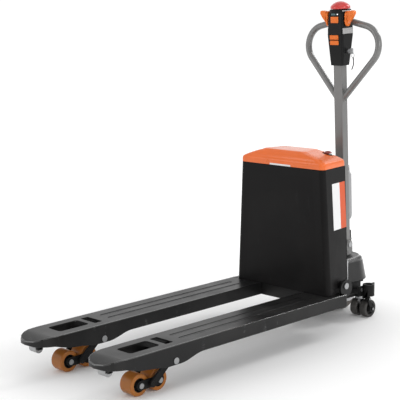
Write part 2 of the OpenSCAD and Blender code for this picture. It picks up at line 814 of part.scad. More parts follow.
// Pin through the tiller's foot.
module tiller_pin() {
    half = mast_w / 2 + 14;
    color("silver") placed() translate([tiller_x, 0, tiller_z]) {
        rod_y(tiller_pin_d, 2 * half);
        for (i = [-1, 1]) translate([0, i * (half + 1.5), 0]) rod_y(24, 3);
    }
}

// Rectangular mast with a solid foot and the clamp of the gas spring.
module tiller_mast() {
    color([0.47, 0.47, 0.46]) placed() on_tiller() difference() {
        union() {
            translate([0, 0, 10]) block(mast_d, mast_w, head_z + 18, 6);
            rod_y(mast_d - 4, mast_w);
            translate([-mast_d / 2 + 2, -mast_w / 2, 0]) cube([mast_d - 4, mast_w, 20]);
            translate([mast_d / 2 - 2, -12, 318]) cube([spring_x - mast_d / 2 + 2, 24, 16]);
        }
        translate([0, 0, 60]) block(mast_d - 5, mast_w - 5, head_z, 4);
        rod_y(tiller_pin_d + 2 * run, 100);
        translate([spring_x, 0, 310]) cylinder(d = 10 + 2 * run, h = 40);
    }
}

// Barrel of the gas spring behind the mast.
module gas_spring() {
    color([0.62, 0.64, 0.65]) placed() on_tiller() translate([spring_x, 0, 0]) difference() {
        union() {
            translate([0, 0, 118]) cylinder(d = 33, h = 190);
            translate([0, 0, 104]) cylinder(d1 = 20, d2 = 33, h = 14);
            translate([0, 0, 308]) cylinder(d = 20, h = 10);
            translate([0, 0, 318]) cylinder(d = 10, h = 24);
            translate([0, 0, 334]) cylinder(d = 18, h = 6);
        }
        translate([0, 0, 100]) cylinder(d = 10 + 2 * run, h = 190);
    }
}

// Rod of the gas spring with its slotted end over the foot's eye.
module gas_spring_rod() {
    color([0.2, 0.2, 0.2]) placed() on_tiller() translate([spring_x, 0, 0]) {
        translate([0, 0, 20]) cylinder(d = 10, h = 196);
        translate([0, 0, 31]) cylinder(d = 22, h = 22);
        difference() {
            translate([spring_eye_x - spring_x - 9, -7, spring_eye_z - 7.5]) cube([26, 14, 62]);
            link_bar(spring_eye_x - spring_x, spring_eye_z, 0.5, spring_eye_z, 5.1, 20);
        }
    }
}

// Half of the handle loop as points from the foot to the head.
function loop_path() = concat(
    [[16, 636]],
    [for (a = [-44:11:77]) [loop_w / 2 - 14 - 84 + 84 * cos(a), 857 + 84 * sin(a)]],
    [[30, 960]]);

// Tube along a path of points in the YZ plane, with a ring at each point.
module handle_loop() {
    path = loop_path();
    n = len(path);
    sides = 16;
    function dir(i) = let (a = path[max(i - 1, 0)], b = path[min(i + 1, n - 1)]) (b - a) / norm(b - a);
    points = [for (i = [0:n - 1], k = [0:sides - 1])
        let (d = dir(i), c = loop_d / 2 * cos(k * 360 / sides), s = loop_d / 2 * sin(k * 360 / sides))
        [s + (path[i][1] - 636) * loop_lean, path[i][0] + c * d[1], path[i][1] - c * d[0]]];
    walls = [for (i = [0:n - 2], k = [0:sides - 1]) let (m = (k + 1) % sides)
        [i * sides + k, (i + 1) * sides + k, (i + 1) * sides + m, i * sides + m]];
    ends = [[for (k = [0:sides - 1]) k], [for (k = [sides - 1:-1:0]) (n - 1) * sides + k]];
    color([0.47, 0.47, 0.46]) placed() on_tiller() for (i = [0, 1]) mirror([0, i, 0]) {
        difference() {
            polyhedron(points = points, faces = concat(walls, ends));
            translate([-50, -80, 560]) cube([100, 80 + mast_w / 2, 150]);
            translate([-50, -80, head_z - 5]) cube([100, 80 + 40.9, 260]);
        }
    }
}

// Section of the head at a height: centre offset, depth and width.
module head_slice(z, dx, depth, width) {
    translate([dx, 0, head_z + z]) block(depth, width, 1, 9);
}

// Moulded control head with pockets for its controls.
module control_head() {
    color([0.09, 0.09, 0.09]) placed() on_tiller() difference() {
        union() {
            hull() {
                head_slice(0, 0, 52, 66);
                head_slice(128, 5, 76, 84);
            }
            hull() {
                head_slice(128, 5, 76, 84);
                head_slice(152, 6, 72, 81);
                head_slice(218, 9, 70, 78);
            }
            translate([dome_x, 0, head_z + 219]) cylinder(d = 91, h = 14);
        }
        translate([0, 0, head_z - 1]) block(mast_d + 0.4, mast_w + 0.4, 32, 6);
        translate([dome_x, 0, head_z + 205]) cylinder(d = 20 + 2 * run, h = 40);
        translate([dome_x, 0, head_z + 226]) cylinder(d = 86, h = 12);
        translate([throttle_x, 0, head_z + throttle_z]) rod_y(14 + 2 * run, 120);
        for (i = [0:2]) translate([-41, key_y - key_w[i] / 2 - 0.5, head_z + key_rows[i] - key_h[i] / 2 - 0.5]) {
            cube([25, key_w[i] + 1, key_h[i] + 1]);
        }
        translate([4, -36, head_z + 60]) rotate([90, 0, 0]) cylinder(d = 18 + 2 * run, h = 40, center = true);
        for (i = [-1, 1]) translate([6, i * 42, head_z + band_z]) cube([90, 6, 24.4], center = true);
    }
}
throttle_x = -8;
throttle_z = 194;
dome_x = 9;
band_z = 145;
key_y = 3;
key_rows = [96, 118.5, 191];
key_w = [45, 45, 40];
key_h = [18.5, 18.5, 26];
key_faces = [-34, -35.4, -30.4];

// Grey band at the waist of the head, one strip on each side.
module head_band() {
    color([0.6, 0.6, 0.6]) placed() on_tiller() for (i = [-1, 1]) {
        translate([6, i * 40, head_z + band_z]) cube([68, 2, 24], center = true);
    }
}

// A push button on the head's front.
module head_button(row) {
    color([0.93, 0.42, 0.1]) placed() on_tiller() {
        translate([key_faces[row], key_y - key_w[row] / 2, head_z + key_rows[row] - key_h[row] / 2]) {
            cube([10, key_w[row], key_h[row]]);
        }
    }
}

module lower_button() { head_button(0); }
module lift_button() { head_button(1); }
module horn_button() { head_button(2); }

// Throttle: a shaft through the head with a butterfly wing on each side.
module throttle() {
    color([0.95, 0.45, 0.1]) placed() on_tiller() translate([throttle_x, 0, head_z + throttle_z]) {
        rod_y(14, 102);
        for (i = [-1, 1]) translate([0, i * 51, 0]) {
            link_bar(0, 18, 0, -15, 15, 10);
            rotate([90, 0, 90]) linear_extrude(22, center = true) {
                polygon([[i * 4, 30], [i * 28, 36], [i * 37, 33], [i * 38, 22], [i * 26, 4], [i * 4, -20]]);
            }
        }
    }
}

// Red anti-crush button on top of the head.
module belly_button() {
    color([0.8, 0.1, 0.15]) placed() on_tiller() translate([dome_x, 0, head_z]) {
        translate([0, 0, 212]) cylinder(d = 20, h = 26);
        translate([0, 0, 235]) rotate_extrude() intersection() {
            translate([0, -20]) circle(r = 52);
            square([42, 40]);
        }
    }
}

// Ignition key with its lock barrel and ring.
module ignition_key() {
    color("silver") placed() on_tiller() translate([4, -36, head_z + 60]) {
        translate([0, 2, 0]) rod_y(18, 26);
        translate([-1, -32, -12]) cube([2, 22, 24]);
    }
}

chassis();
drive_cover();
slew_ring();
pump_unit();
lift_cylinder();
chassis_bolts();
lift_ram();
fork_right();
fork_left();
heel_frame();
battery_box();
batteries();
controller();
charger();
frame_bolts();
emergency_stop();
emergency_stop_collar();
lid();
push_rod_right();
push_rod_left();
rocker();
load_arm_right();
load_arm_left();
bogie_right();
bogie_left();
bogie_bolts_right();
bogie_bolts_left();
load_roller_right_front();
load_roller_right_rear();
load_roller_left_front();
load_roller_left_rear();
entry_roller_right();
entry_roller_left();
castor_fork_right();
castor_fork_left();
castor_guard_right();
castor_guard_left();
castor_wheel_right_outer();
castor_wheel_right_inner();
castor_wheel_left_outer();
castor_wheel_left_inner();
drive_motor();
drive_gearbox();
tiller_base();
tiller_pin();
drive_wheel();
tiller_mast();
handle_loop();
control_head();
head_band();
gas_spring();
gas_spring_rod();
throttle();
belly_button();
lift_button();
lower_button();
horn_button();
ignition_key();
pivot_pins();
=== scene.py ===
"""Electric pallet truck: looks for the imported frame, piece by piece, in metres."""

import json
import logging
from dataclasses import dataclass
from enum import Enum
from math import atan2, cos, hypot, pi, radians, sin
from typing import Callable

import bmesh
import bpy
from mathutils import Matrix, Vector
from mathutils.bvhtree import BVHTree

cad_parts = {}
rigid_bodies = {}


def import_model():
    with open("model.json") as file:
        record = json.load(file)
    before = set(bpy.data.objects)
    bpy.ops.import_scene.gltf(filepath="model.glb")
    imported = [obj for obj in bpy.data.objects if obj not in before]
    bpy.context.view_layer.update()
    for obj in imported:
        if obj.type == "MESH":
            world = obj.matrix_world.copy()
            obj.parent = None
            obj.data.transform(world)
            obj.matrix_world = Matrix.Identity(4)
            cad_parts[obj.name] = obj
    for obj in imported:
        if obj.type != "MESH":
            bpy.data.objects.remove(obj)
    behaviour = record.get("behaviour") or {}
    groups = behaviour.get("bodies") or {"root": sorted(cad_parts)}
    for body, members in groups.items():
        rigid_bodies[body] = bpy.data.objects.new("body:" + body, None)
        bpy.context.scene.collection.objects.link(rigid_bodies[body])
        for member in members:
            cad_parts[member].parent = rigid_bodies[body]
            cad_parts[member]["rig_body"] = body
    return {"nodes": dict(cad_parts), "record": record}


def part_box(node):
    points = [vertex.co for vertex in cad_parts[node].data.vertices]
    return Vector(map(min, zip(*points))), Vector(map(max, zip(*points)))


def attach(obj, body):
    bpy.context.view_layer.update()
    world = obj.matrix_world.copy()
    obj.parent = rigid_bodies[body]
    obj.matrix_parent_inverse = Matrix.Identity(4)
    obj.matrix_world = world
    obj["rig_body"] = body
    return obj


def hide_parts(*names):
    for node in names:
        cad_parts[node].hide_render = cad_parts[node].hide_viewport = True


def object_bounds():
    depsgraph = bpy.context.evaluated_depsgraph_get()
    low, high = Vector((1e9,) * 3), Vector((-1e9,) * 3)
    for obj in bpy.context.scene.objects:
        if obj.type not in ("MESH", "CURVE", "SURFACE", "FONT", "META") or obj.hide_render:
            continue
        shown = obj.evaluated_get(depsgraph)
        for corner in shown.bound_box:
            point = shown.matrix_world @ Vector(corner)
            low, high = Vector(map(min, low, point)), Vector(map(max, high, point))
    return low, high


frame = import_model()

LOG = logging.getLogger("pallet_truck")
CAD_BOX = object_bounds()
MM = 0.001
# Distance in metres within which the points of a CAD copy are one point
WELD = 2e-6
# Angle in degrees under which two of its facets are one face
FLAT_ANGLE = 0.6
Colour = tuple[float, float, float]
Pair = tuple[float, float]
Point = tuple[float, float, float]
Thing = bpy.types.Object
Element = bmesh.types.BMFace | bmesh.types.BMEdge


# ---- Shader nodes as expressions ----


class Wire:
    """A shader socket that takes part in arithmetic with numbers and other wires."""

    def __init__(self, net: "Net", socket: bpy.types.NodeSocket) -> None:
        """Keep the net and the output socket."""
        self.net = net
        self.socket = socket

    def _math(self, kind: str, first: object, second: object) -> "Wire":
        """Result of a Math node on two numbers or wires."""
        return self.net.node("ShaderNodeMath", {"operation": kind}, {0: first, 1: second})

    def __add__(self, other: object) -> "Wire":
        """Sum."""
        return self._math("ADD", self, other)

    def __sub__(self, other: object) -> "Wire":
        """Difference."""
        return self._math("SUBTRACT", self, other)

    def __mul__(self, other: object) -> "Wire":
        """Product."""
        return self._math("MULTIPLY", self, other)

    def __pow__(self, other: object) -> "Wire":
        """Power."""
        return self._math("POWER", self, other)

    def ramp(self, low: float, high: float) -> "Wire":
        """Stretch low..high to 0..1 and clamp it."""
        return self.net.node("ShaderNodeMapRange", {"clamp": True}, {0: self, 1: low, 2: high})


class Net:
    """Node tree of one material around a Principled shader."""

    def __init__(self, name: str) -> None:
        """Make an empty material with its shader and output."""
        self.material = bpy.data.materials.new(name)
        self.material.use_nodes = True
        self.tree = self.material.node_tree
        self.tree.nodes.clear()
        out = self.tree.nodes.new("ShaderNodeOutputMaterial")
        self.shader = self.tree.nodes.new("ShaderNodeBsdfPrincipled")
        self.tree.links.new(self.shader.outputs[0], out.inputs[0])

    def node(self, kind: str, settings: dict, values: dict, out: int | str = 0) -> Wire:
        """Add a node, set it up and feed it.

        Args:
            kind: Type name of the node.
            settings: Properties that are set first.
            values: Number, tuple or wire for each input.
            out: Output that is handed back.

        Returns:
            The chosen output as a wire.
        """
        made = self.tree.nodes.new(kind)
        for key, value in settings.items():
            setattr(made, key, value)
        for key, value in values.items():
            self.feed(made.inputs[key], value)
        return Wire(self, made.outputs[out])

    def feed(self, socket: bpy.types.NodeSocket, value: object) -> None:
        """Link a wire to a socket or set its constant."""
        if isinstance(value, Wire):
            self.tree.links.new(value.socket, socket)
        else:
            socket.default_value = value

    def surface(self, values: dict) -> None:
        """Feed inputs of the shader by their names."""
        for name, value in values.items():
            self.feed(self.shader.inputs[name], value)

    def place(self) -> Wire:
        """Object coordinates in metres."""
        return self.node("ShaderNodeTexCoord", {}, {}, "Object")

    def noise(self, scale: float, detail: float = 2.0, stretch: Point = (1, 1, 1)) -> Wire:
        """Noise of about 0.5 with cells of 1 / scale metres.

        Args:
            scale: Cells in a metre.
            detail: Octaves.
            stretch: Factor along each axis.

        Returns:
            The noise value.
        """
        where = self.node("ShaderNodeMapping", {}, {"Vector": self.place(), "Scale": stretch})
        values = {"Vector": where, "Scale": scale, "Detail": detail}
        return self.node("ShaderNodeTexNoise", {}, values, "Fac")

    def axis(self, name: str) -> Wire:
        """X, Y or Z of the object coordinates."""
        return self.node("ShaderNodeSeparateXYZ", {}, {"Vector": self.place()}, name)

    def mix(self, share: object, first: object, second: object) -> Wire:
        """Blend two colours by a share."""
        values = {0: share, 6: first, 7: second}
        return self.node("ShaderNodeMix", {"data_type": "RGBA"}, values, 2)

    def bump(self, height: Wire, depth: float, under: Wire | None = None) -> Wire:
        """Bump from a height of 0..1 that stands for a depth in metres.

        Args:
            height: Height map.
            depth: Metres for a height of one.
            under: Normal below this bump.

        Returns:
            The bumped normal.
        """
        values: dict = {"Height": height, "Distance": depth, "Strength": 1.0}
        if under is not None:
            values["Normal"] = under
        return self.node("ShaderNodeBump", {}, values, "Normal")


def rgba(colour: Colour, factor: float = 1.0) -> tuple[float, float, float, float]:
    """Linear colour with an alpha, scaled by a factor."""
    return (*(min(1.0, c * factor) for c in colour), 1.0)


# ---- Finishes ----


BLACK: Colour = (0.0, 0.0, 0.0)
WHITE: Colour = (1.0, 1.0, 1.0)
DUST_COLOUR: Colour = (0.42, 0.4, 0.37)
# Noise cells in a metre
CLOUD_CELLS, FILM_CELLS, PEEL_CELLS = 9.0, 5.0, 260.0
MARK_CELLS, SCRATCH_CELLS = 38.0, 420.0


@dataclass(frozen=True)
class Finish:
    """Finish of a surface: base, gloss, grain, mottling, scuffs, dust and brushing."""

    colour: Colour
    rough: float = 0.45
    metallic: float = 0.0
    coat: float = 0.0
    coat_rough: float = 0.15
    specular: float = 0.5
    grain: float = 900.0
    grain_depth: float = 0.00004
    peel: float = 0.0
    mottle: float = 0.08
    scuffs: float = 0.15
    scuff_colour: Colour = (0.22, 0.22, 0.22)
    dust: float = 0.12
    brush: Point | None = None
    glow: float = 0.0
    depth_glow: float = 0.0

    def build(self, name: str) -> bpy.types.Material:
        """Make the material.

        Args:
            name: Name of the material.

        Returns:
            The new material.
        """
        net = Net(name)
        shade = net.noise(CLOUD_CELLS, 3.0).ramp(0.3, 0.7)
        dark, light = rgba(self.colour, 1 - self.mottle), rgba(self.colour, 1 + self.mottle)
        base = net.mix(shade, dark, light)
        rough = (shade - 0.5) * 0.1 + self.rough
        if self.scuffs:
            marks = net.noise(MARK_CELLS, 5.0, (1.0, 1.0, 0.25)).ramp(0.64, 0.72)
            fine = net.noise(SCRATCH_CELLS, 2.0, (0.15, 1.0, 1.0)).ramp(0.5, 0.62)
            worn = marks * fine * self.scuffs
            base = net.mix(worn, base, rgba(self.scuff_colour))
            rough = rough + worn * 0.25
        if self.dust:
            film = net.noise(FILM_CELLS, 6.0).ramp(0.42, 0.75) * self.dust
            base = net.mix(film, base, rgba(DUST_COLOUR))
            rough = rough + film * 0.5
        grain = net.noise(self.grain, 1.0, self.brush or (1, 1, 1))
        normal = net.bump(grain, self.grain_depth)
        if self.brush:
            rough = rough + (grain - 0.5) * 0.2
        if self.peel:
            normal = net.bump(net.noise(PEEL_CELLS, 1.0), self.peel, normal)
        net.surface({
            "Base Color": base, "Roughness": rough, "Normal": normal,
            "Metallic": self.metallic, "Coat Weight": self.coat,
            "Coat Roughness": self.coat_rough, "Specular IOR Level": self.specular,
        })
        if self.depth_glow:
            net.surface({"Subsurface Weight": self.depth_glow, "Subsurface Scale": 0.01})
        if self.glow:
            net.surface({"Emission Color": rgba(self.colour), "Emission Strength": self.glow})
        return net.material


def plastic(colour: Colour, rough: float, **more: float) -> Finish:
    """Moulded plastic with a fine grain, few scuffs and little dust."""
    usual = {"grain": 1500, "grain_depth": 0.03 * MM, "scuffs": 0.05, "dust": 0.03}
    return Finish(colour, rough, **(usual | more))


class Look(Enum):
    """Every finish on the truck."""

    FORK_PAINT = Finish(
        (0.0095, 0.0095, 0.0098), 0.34, 0, 0, 0.15, 0.22, peel=0.05 * MM, scuffs=0.35, dust=0.03,
    )
    # Rolled fork rim: glossier than the fork paint, and its lighter colour is a painted highlight
    FORK_RIM_PAINTED_HIGHLIGHT = Finish((0.012, 0.012, 0.0122), 0.2, 0, 1, 0.12, 0.6, scuffs=0.2, dust=0)
    FRAME_PAINT = Finish(
        (0.008, 0.008, 0.0083), 0.42, 0, 0, 0.15, 0.15, peel=0.05 * MM, scuffs=0.2, dust=0.02,
    )
    BOX_PAINT = Finish(
        (0.0075, 0.007, 0.0072), 0.4, 0, 0, 0.15, 0.09, peel=0.04 * MM, scuffs=0.04, dust=0.008,
    )
    COVER_PLASTIC = plastic(
        (0.014, 0.014, 0.0144), 0.34, specular=0.34, grain_depth=0.06 * MM, scuffs=0.06,
    )
    # Rounded cover edges: glossier than the cover plastic, and their lighter colour is a painted
    # highlight
    COVER_RIM_PAINTED_HIGHLIGHT = plastic(
        (0.02, 0.02, 0.0205), 0.22, coat=1, coat_rough=0.14, specular=0.6, scuffs=0.04, dust=0,
    )
    HEAD_PLASTIC = plastic(
        (0.006, 0.006, 0.0063), 0.36, specular=0.15, grain=1800, grain_depth=0.05 * MM, scuffs=0.03,
        dust=0.01,
    )
    BLACK_PLASTIC = plastic(
        (0.008, 0.008, 0.008), 0.45, specular=0.2, grain=1600, grain_depth=0.06 * MM, dust=0.02,
    )
    LID_SHELL = Finish(
        (0.76, 0.135, 0.012), 0.3, 0, 0.5, 0.1, 0.3, grain=700, grain_depth=0.01 * MM, mottle=0.04,
        scuffs=0.04, dust=0.03, scuff_colour=(0.8, 0.35, 0.2),
    )
    TILLER_PAINT = Finish(
        (0.15, 0.15, 0.148), 0.36, 0.3, 0.55, 0.12, peel=0.04 * MM, mottle=0.04, scuffs=0.12,
        dust=0.05, scuff_colour=(0.4, 0.4, 0.39),
    )
    CAST_GREY = Finish((0.2, 0.2, 0.2), 0.5, grain=500, grain_depth=0.14 * MM, mottle=0.1)
    ZINC = Finish(
        (0.36, 0.365, 0.37), 0.36, 1, grain=700, grain_depth=0.02 * MM, mottle=0.07, scuffs=0.3,
        dust=0.08, scuff_colour=(0.35, 0.35, 0.36),
    )
    BRIGHT_STEEL = Finish(
        (0.66, 0.66, 0.67), 0.2, 1, grain_depth=0.01 * MM, scuffs=0.1, dust=0.02,
        brush=(1, 1, 0.04),
    )
    DARK_STEEL = Finish((0.06, 0.06, 0.062), 0.4, 0.8, grain=600, grain_depth=0.03 * MM)
    SPRING_GREY = Finish((0.33, 0.335, 0.34), 0.3, 0.25, 0.4, mottle=0.04, scuffs=0.1)
    AMBER_PU = Finish(
        (0.38, 0.13, 0.018), 0.34, specular=0.35, grain=350, grain_depth=0.05 * MM, mottle=0.16,
        scuffs=0.4, dust=0.03, scuff_colour=(0.2, 0.09, 0.03), depth_glow=0.1,
    )
    DARK_TYRE = Finish(
        (0.02, 0.019, 0.018), 0.6, grain=420, grain_depth=0.12 * MM, scuffs=0.5, dust=0.3,
        scuff_colour=(0.1, 0.1, 0.1),
    )
    DRIVE_TYRE = Finish(
        (0.06, 0.05, 0.042), 0.58, grain=380, grain_depth=0.12 * MM, scuffs=0.5, dust=0.28,
        scuff_colour=(0.14, 0.12, 0.1),
    )
    HUB_BLACK = Finish(
        (0.008, 0.008, 0.008), 0.5, specular=0.2, grain=700, grain_depth=0.07 * MM, dust=0.02,
    )
    ALUMINIUM = Finish((0.5, 0.5, 0.51), 0.42, 0.9, grain=420, grain_depth=0.1 * MM, dust=0.15)
    MOTOR_BLACK = Finish((0.025, 0.025, 0.027), 0.5, grain=520, grain_depth=0.1 * MM)
    BATTERY_CASE = Finish((0.035, 0.04, 0.05), 0.48, grain_depth=0.08 * MM)
    BUTTON_ORANGE = plastic((0.72, 0.155, 0.016), 0.36, coat=0.08, specular=0.25)
    STOP_RED = plastic((0.55, 0.02, 0.016), 0.26, coat=0.5, grain=1200, grain_depth=0.02 * MM)
    # Copy of the stop red darkened as painted shade, for the emergency stop, which sits in shade
    STOP_RED_PAINTED_SHADE = plastic((0.2, 0.022, 0.015), 0.35, coat=0.2, grain=1200, grain_depth=0.02 * MM)
    BAND_GREY = plastic((0.36, 0.36, 0.36), 0.34, coat=0.2, scuffs=0.06, dust=0.12)
    SCREEN = Finish(
        (0.02, 0.075, 0.08), 0.1, 0, 0.9, 0.03, grain=2000, grain_depth=0.002 * MM, scuffs=0,
        dust=0, glow=0.15,
    )
    LAMP_WHITE = Finish((0.9, 0.92, 0.95), 0.2, scuffs=0, dust=0, glow=1.2)
    LABEL_WHITE = plastic((0.72, 0.72, 0.72), 0.4, coat=0.3, grain_depth=0.01 * MM, mottle=0.02)
    LABEL_ORANGE = plastic(
        (0.6, 0.085, 0.02), 0.42, specular=0.3, grain_depth=0.01 * MM, mottle=0.03,
    )
    MARK_WHITE = Finish((0.75, 0.75, 0.75), 0.4, scuffs=0.05, dust=0.05)

    @property
    def material(self) -> bpy.types.Material:
        """The material of this finish, made once."""
        name = "finish_" + self.name.lower()
        return bpy.data.materials.get(name) or self.value.build(name)


# ---- Modelling steps ----


def idle() -> None:
    """Leave edit mode and select nothing."""
    if bpy.context.object and bpy.context.object.mode != "OBJECT":
        bpy.ops.object.mode_set(mode="OBJECT")
    bpy.ops.object.select_all(action="DESELECT")


def take(obj: Thing) -> None:
    """Select one object alone and make it active."""
    idle()
    obj.select_set(True)
    bpy.context.view_layer.objects.active = obj


def edit(obj: Thing) -> None:
    """Open an object in edit mode with all of it selected."""
    take(obj)
    bpy.ops.object.mode_set(mode="EDIT")
    bpy.ops.mesh.select_all(action="SELECT")


def pick(obj: Thing, kind: str, test: Callable[[Element], bool]) -> None:
    """Select the faces or the edges that pass a test.

    Args:
        obj: Object in edit mode.
        kind: FACE or EDGE.
        test: Function of one face or edge.
    """
    bpy.ops.mesh.select_all(action="DESELECT")
    bpy.ops.mesh.select_mode(type=kind)
    mesh = bmesh.from_edit_mesh(obj.data)
    for element in mesh.faces if kind == "FACE" else mesh.edges:
        if test(element):
            element.select_set(True)
    bmesh.update_edit_mesh(obj.data)


def modify(obj: Thing, kind: str, **settings: object) -> None:
    """Give an object one modifier and apply it.

    Args:
        obj: Object to change.
        kind: Type of the modifier.
        settings: Its properties.
    """
    take(obj)
    mod = obj.modifiers.new(kind.lower(), kind)
    for key, value in settings.items():
        setattr(mod, key, value)
    bpy.ops.object.modifier_apply(modifier=mod.name)


def round_edges(
    obj: Thing, width: float, segments: int, angle: float = 32.0, look_index: int = -1
) -> None:
    """Bevel every edge that is sharper than an angle.

    Args:
        obj: Object to bevel.
        width: Width in metres.
        segments: Steps across the round.
        angle: Least angle in degrees.
        look_index: Material of the rounds, or -1 for their neighbours' own.
    """
    modify(
        obj, "BEVEL", material=look_index, width=width, segments=segments, limit_method="ANGLE",
        angle_limit=radians(angle), use_clamp_overlap=False, miter_outer="MITER_ARC",
    )


def shape_of(obj: Thing) -> BVHTree:
    """Shape that an object in edit mode had when editing began."""
    points = [v.co.copy() for v in obj.data.vertices]
    return BVHTree.FromPolygons(points, [tuple(p.vertices) for p in obj.data.polygons])


def tidy_skin(obj: Thing) -> None:
    """Join the points of an object that coincide, and turn its faces outward."""
    edit(obj)
    bpy.ops.mesh.remove_doubles(threshold=1e-6)
    bpy.ops.mesh.normals_make_consistent(inside=False)
    idle()


def keep_within(obj: Thing, shape: BVHTree, slack: float = 0.0002) -> None:
    """Bring vertices that a bevel threw out of a shape back onto it.

    Args:
        obj: Object to mend.
        shape: Shape to stay within.
        slack: Distance left alone.
    """
    for vertex in obj.data.vertices:
        place, normal, _, gap = shape.find_nearest(vertex.co)
        if gap > slack and (vertex.co - place).dot(normal) > 0:
            vertex.co = place


def shade(obj: Thing, angle: float = 34.0) -> None:
    """Shade smooth with sharp edges above an angle, and keep large faces flat."""
    take(obj)
    bpy.ops.object.shade_smooth_by_angle(angle=radians(angle))
    modify(obj, "WEIGHTED_NORMAL", weight=100, keep_sharp=True)


def apply_place(obj: Thing) -> None:
    """Put an object's place into its mesh."""
    take(obj)
    bpy.ops.object.transform_apply(location=True, rotation=True, scale=True)


def dress(obj: Thing, *looks: Look) -> None:
    """Give an object its finishes, the first one all over."""
    obj.data.materials.clear()
    for look in looks:
        obj.data.materials.append(look.material)


def present(obj: Thing, name: str, look: Look | None, node: str = "", body: str = "") -> None:
    """Name, dress and mount a finished piece.

    Args:
        obj: The piece, with its place in its mesh.
        name: Name of the piece.
        look: Finish, or None where it has its own materials.
        node: CAD node that it stands for, if any.
        body: Body that it rides on where it stands for no node.
    """
    obj.name = obj.data.name = name
    if look is not None:
        dress(obj, look)
    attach(obj, body or frame["nodes"][node]["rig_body"])
    if node:
        subparts = frame["record"]["subparts"]
        next(s["material_slot"] for s in subparts if s["node"] == node)
        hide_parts(node)
    idle()
    LOG.info("%s: %d faces", name, len(obj.data.polygons))


def copy_node(node: str) -> Thing:
    """Copy a CAD node as one closed mesh with flat faces joined.

    Args:
        node: Name of the node.

    Returns:
        The copy at the origin.
    """
    source = frame["nodes"][node]
    obj = bpy.data.objects.new(node + "_copy", source.data.copy())
    bpy.context.scene.collection.objects.link(obj)
    edit(obj)
    bpy.ops.mesh.remove_doubles(threshold=WELD)
    bpy.ops.mesh.dissolve_limited(angle_limit=radians(FLAT_ANGLE))
    idle()
    return obj


def soften(
    node: str, look: Look, width: float, segments: int = 2, edge: float = 32.0,
    smooth: float = 34.0, ending: str = "_body",
) -> None:
    """Replace a CAD node with a copy whose sharp edges are rounded.

    Args:
        node: Name of the node.
        look: Finish of the copy.
        width: Width of the rounds in metres.
        segments: Steps across a round.
        edge: Least angle in degrees that is rounded.
        smooth: Angle in degrees up to which faces are shaded as one.
        ending: End of the piece's name.
    """
    obj = copy_node(node)
    round_edges(obj, width, segments, edge)
    shade(obj, smooth)
    present(obj, node + ending, look, node)


# ---- Stage ----


@dataclass(frozen=True)
class Lamp:
    """Square soft lamp that faces a point."""

    name: str
    place: Point
    aim: Point
    size: float
    watts: float

    def build(self) -> None:
        """Make the lamp."""
        data = bpy.data.lights.new(self.name, "AREA")
        data.shape, data.size, data.energy = "SQUARE", self.size, self.watts
        obj = bpy.data.objects.new(self.name, data)
        obj.location = self.place
        way = Vector(self.aim) - Vector(self.place)
        obj.rotation_euler = way.to_track_quat("-Z", "Y").to_euler()
        bpy.context.scene.collection.objects.link(obj)


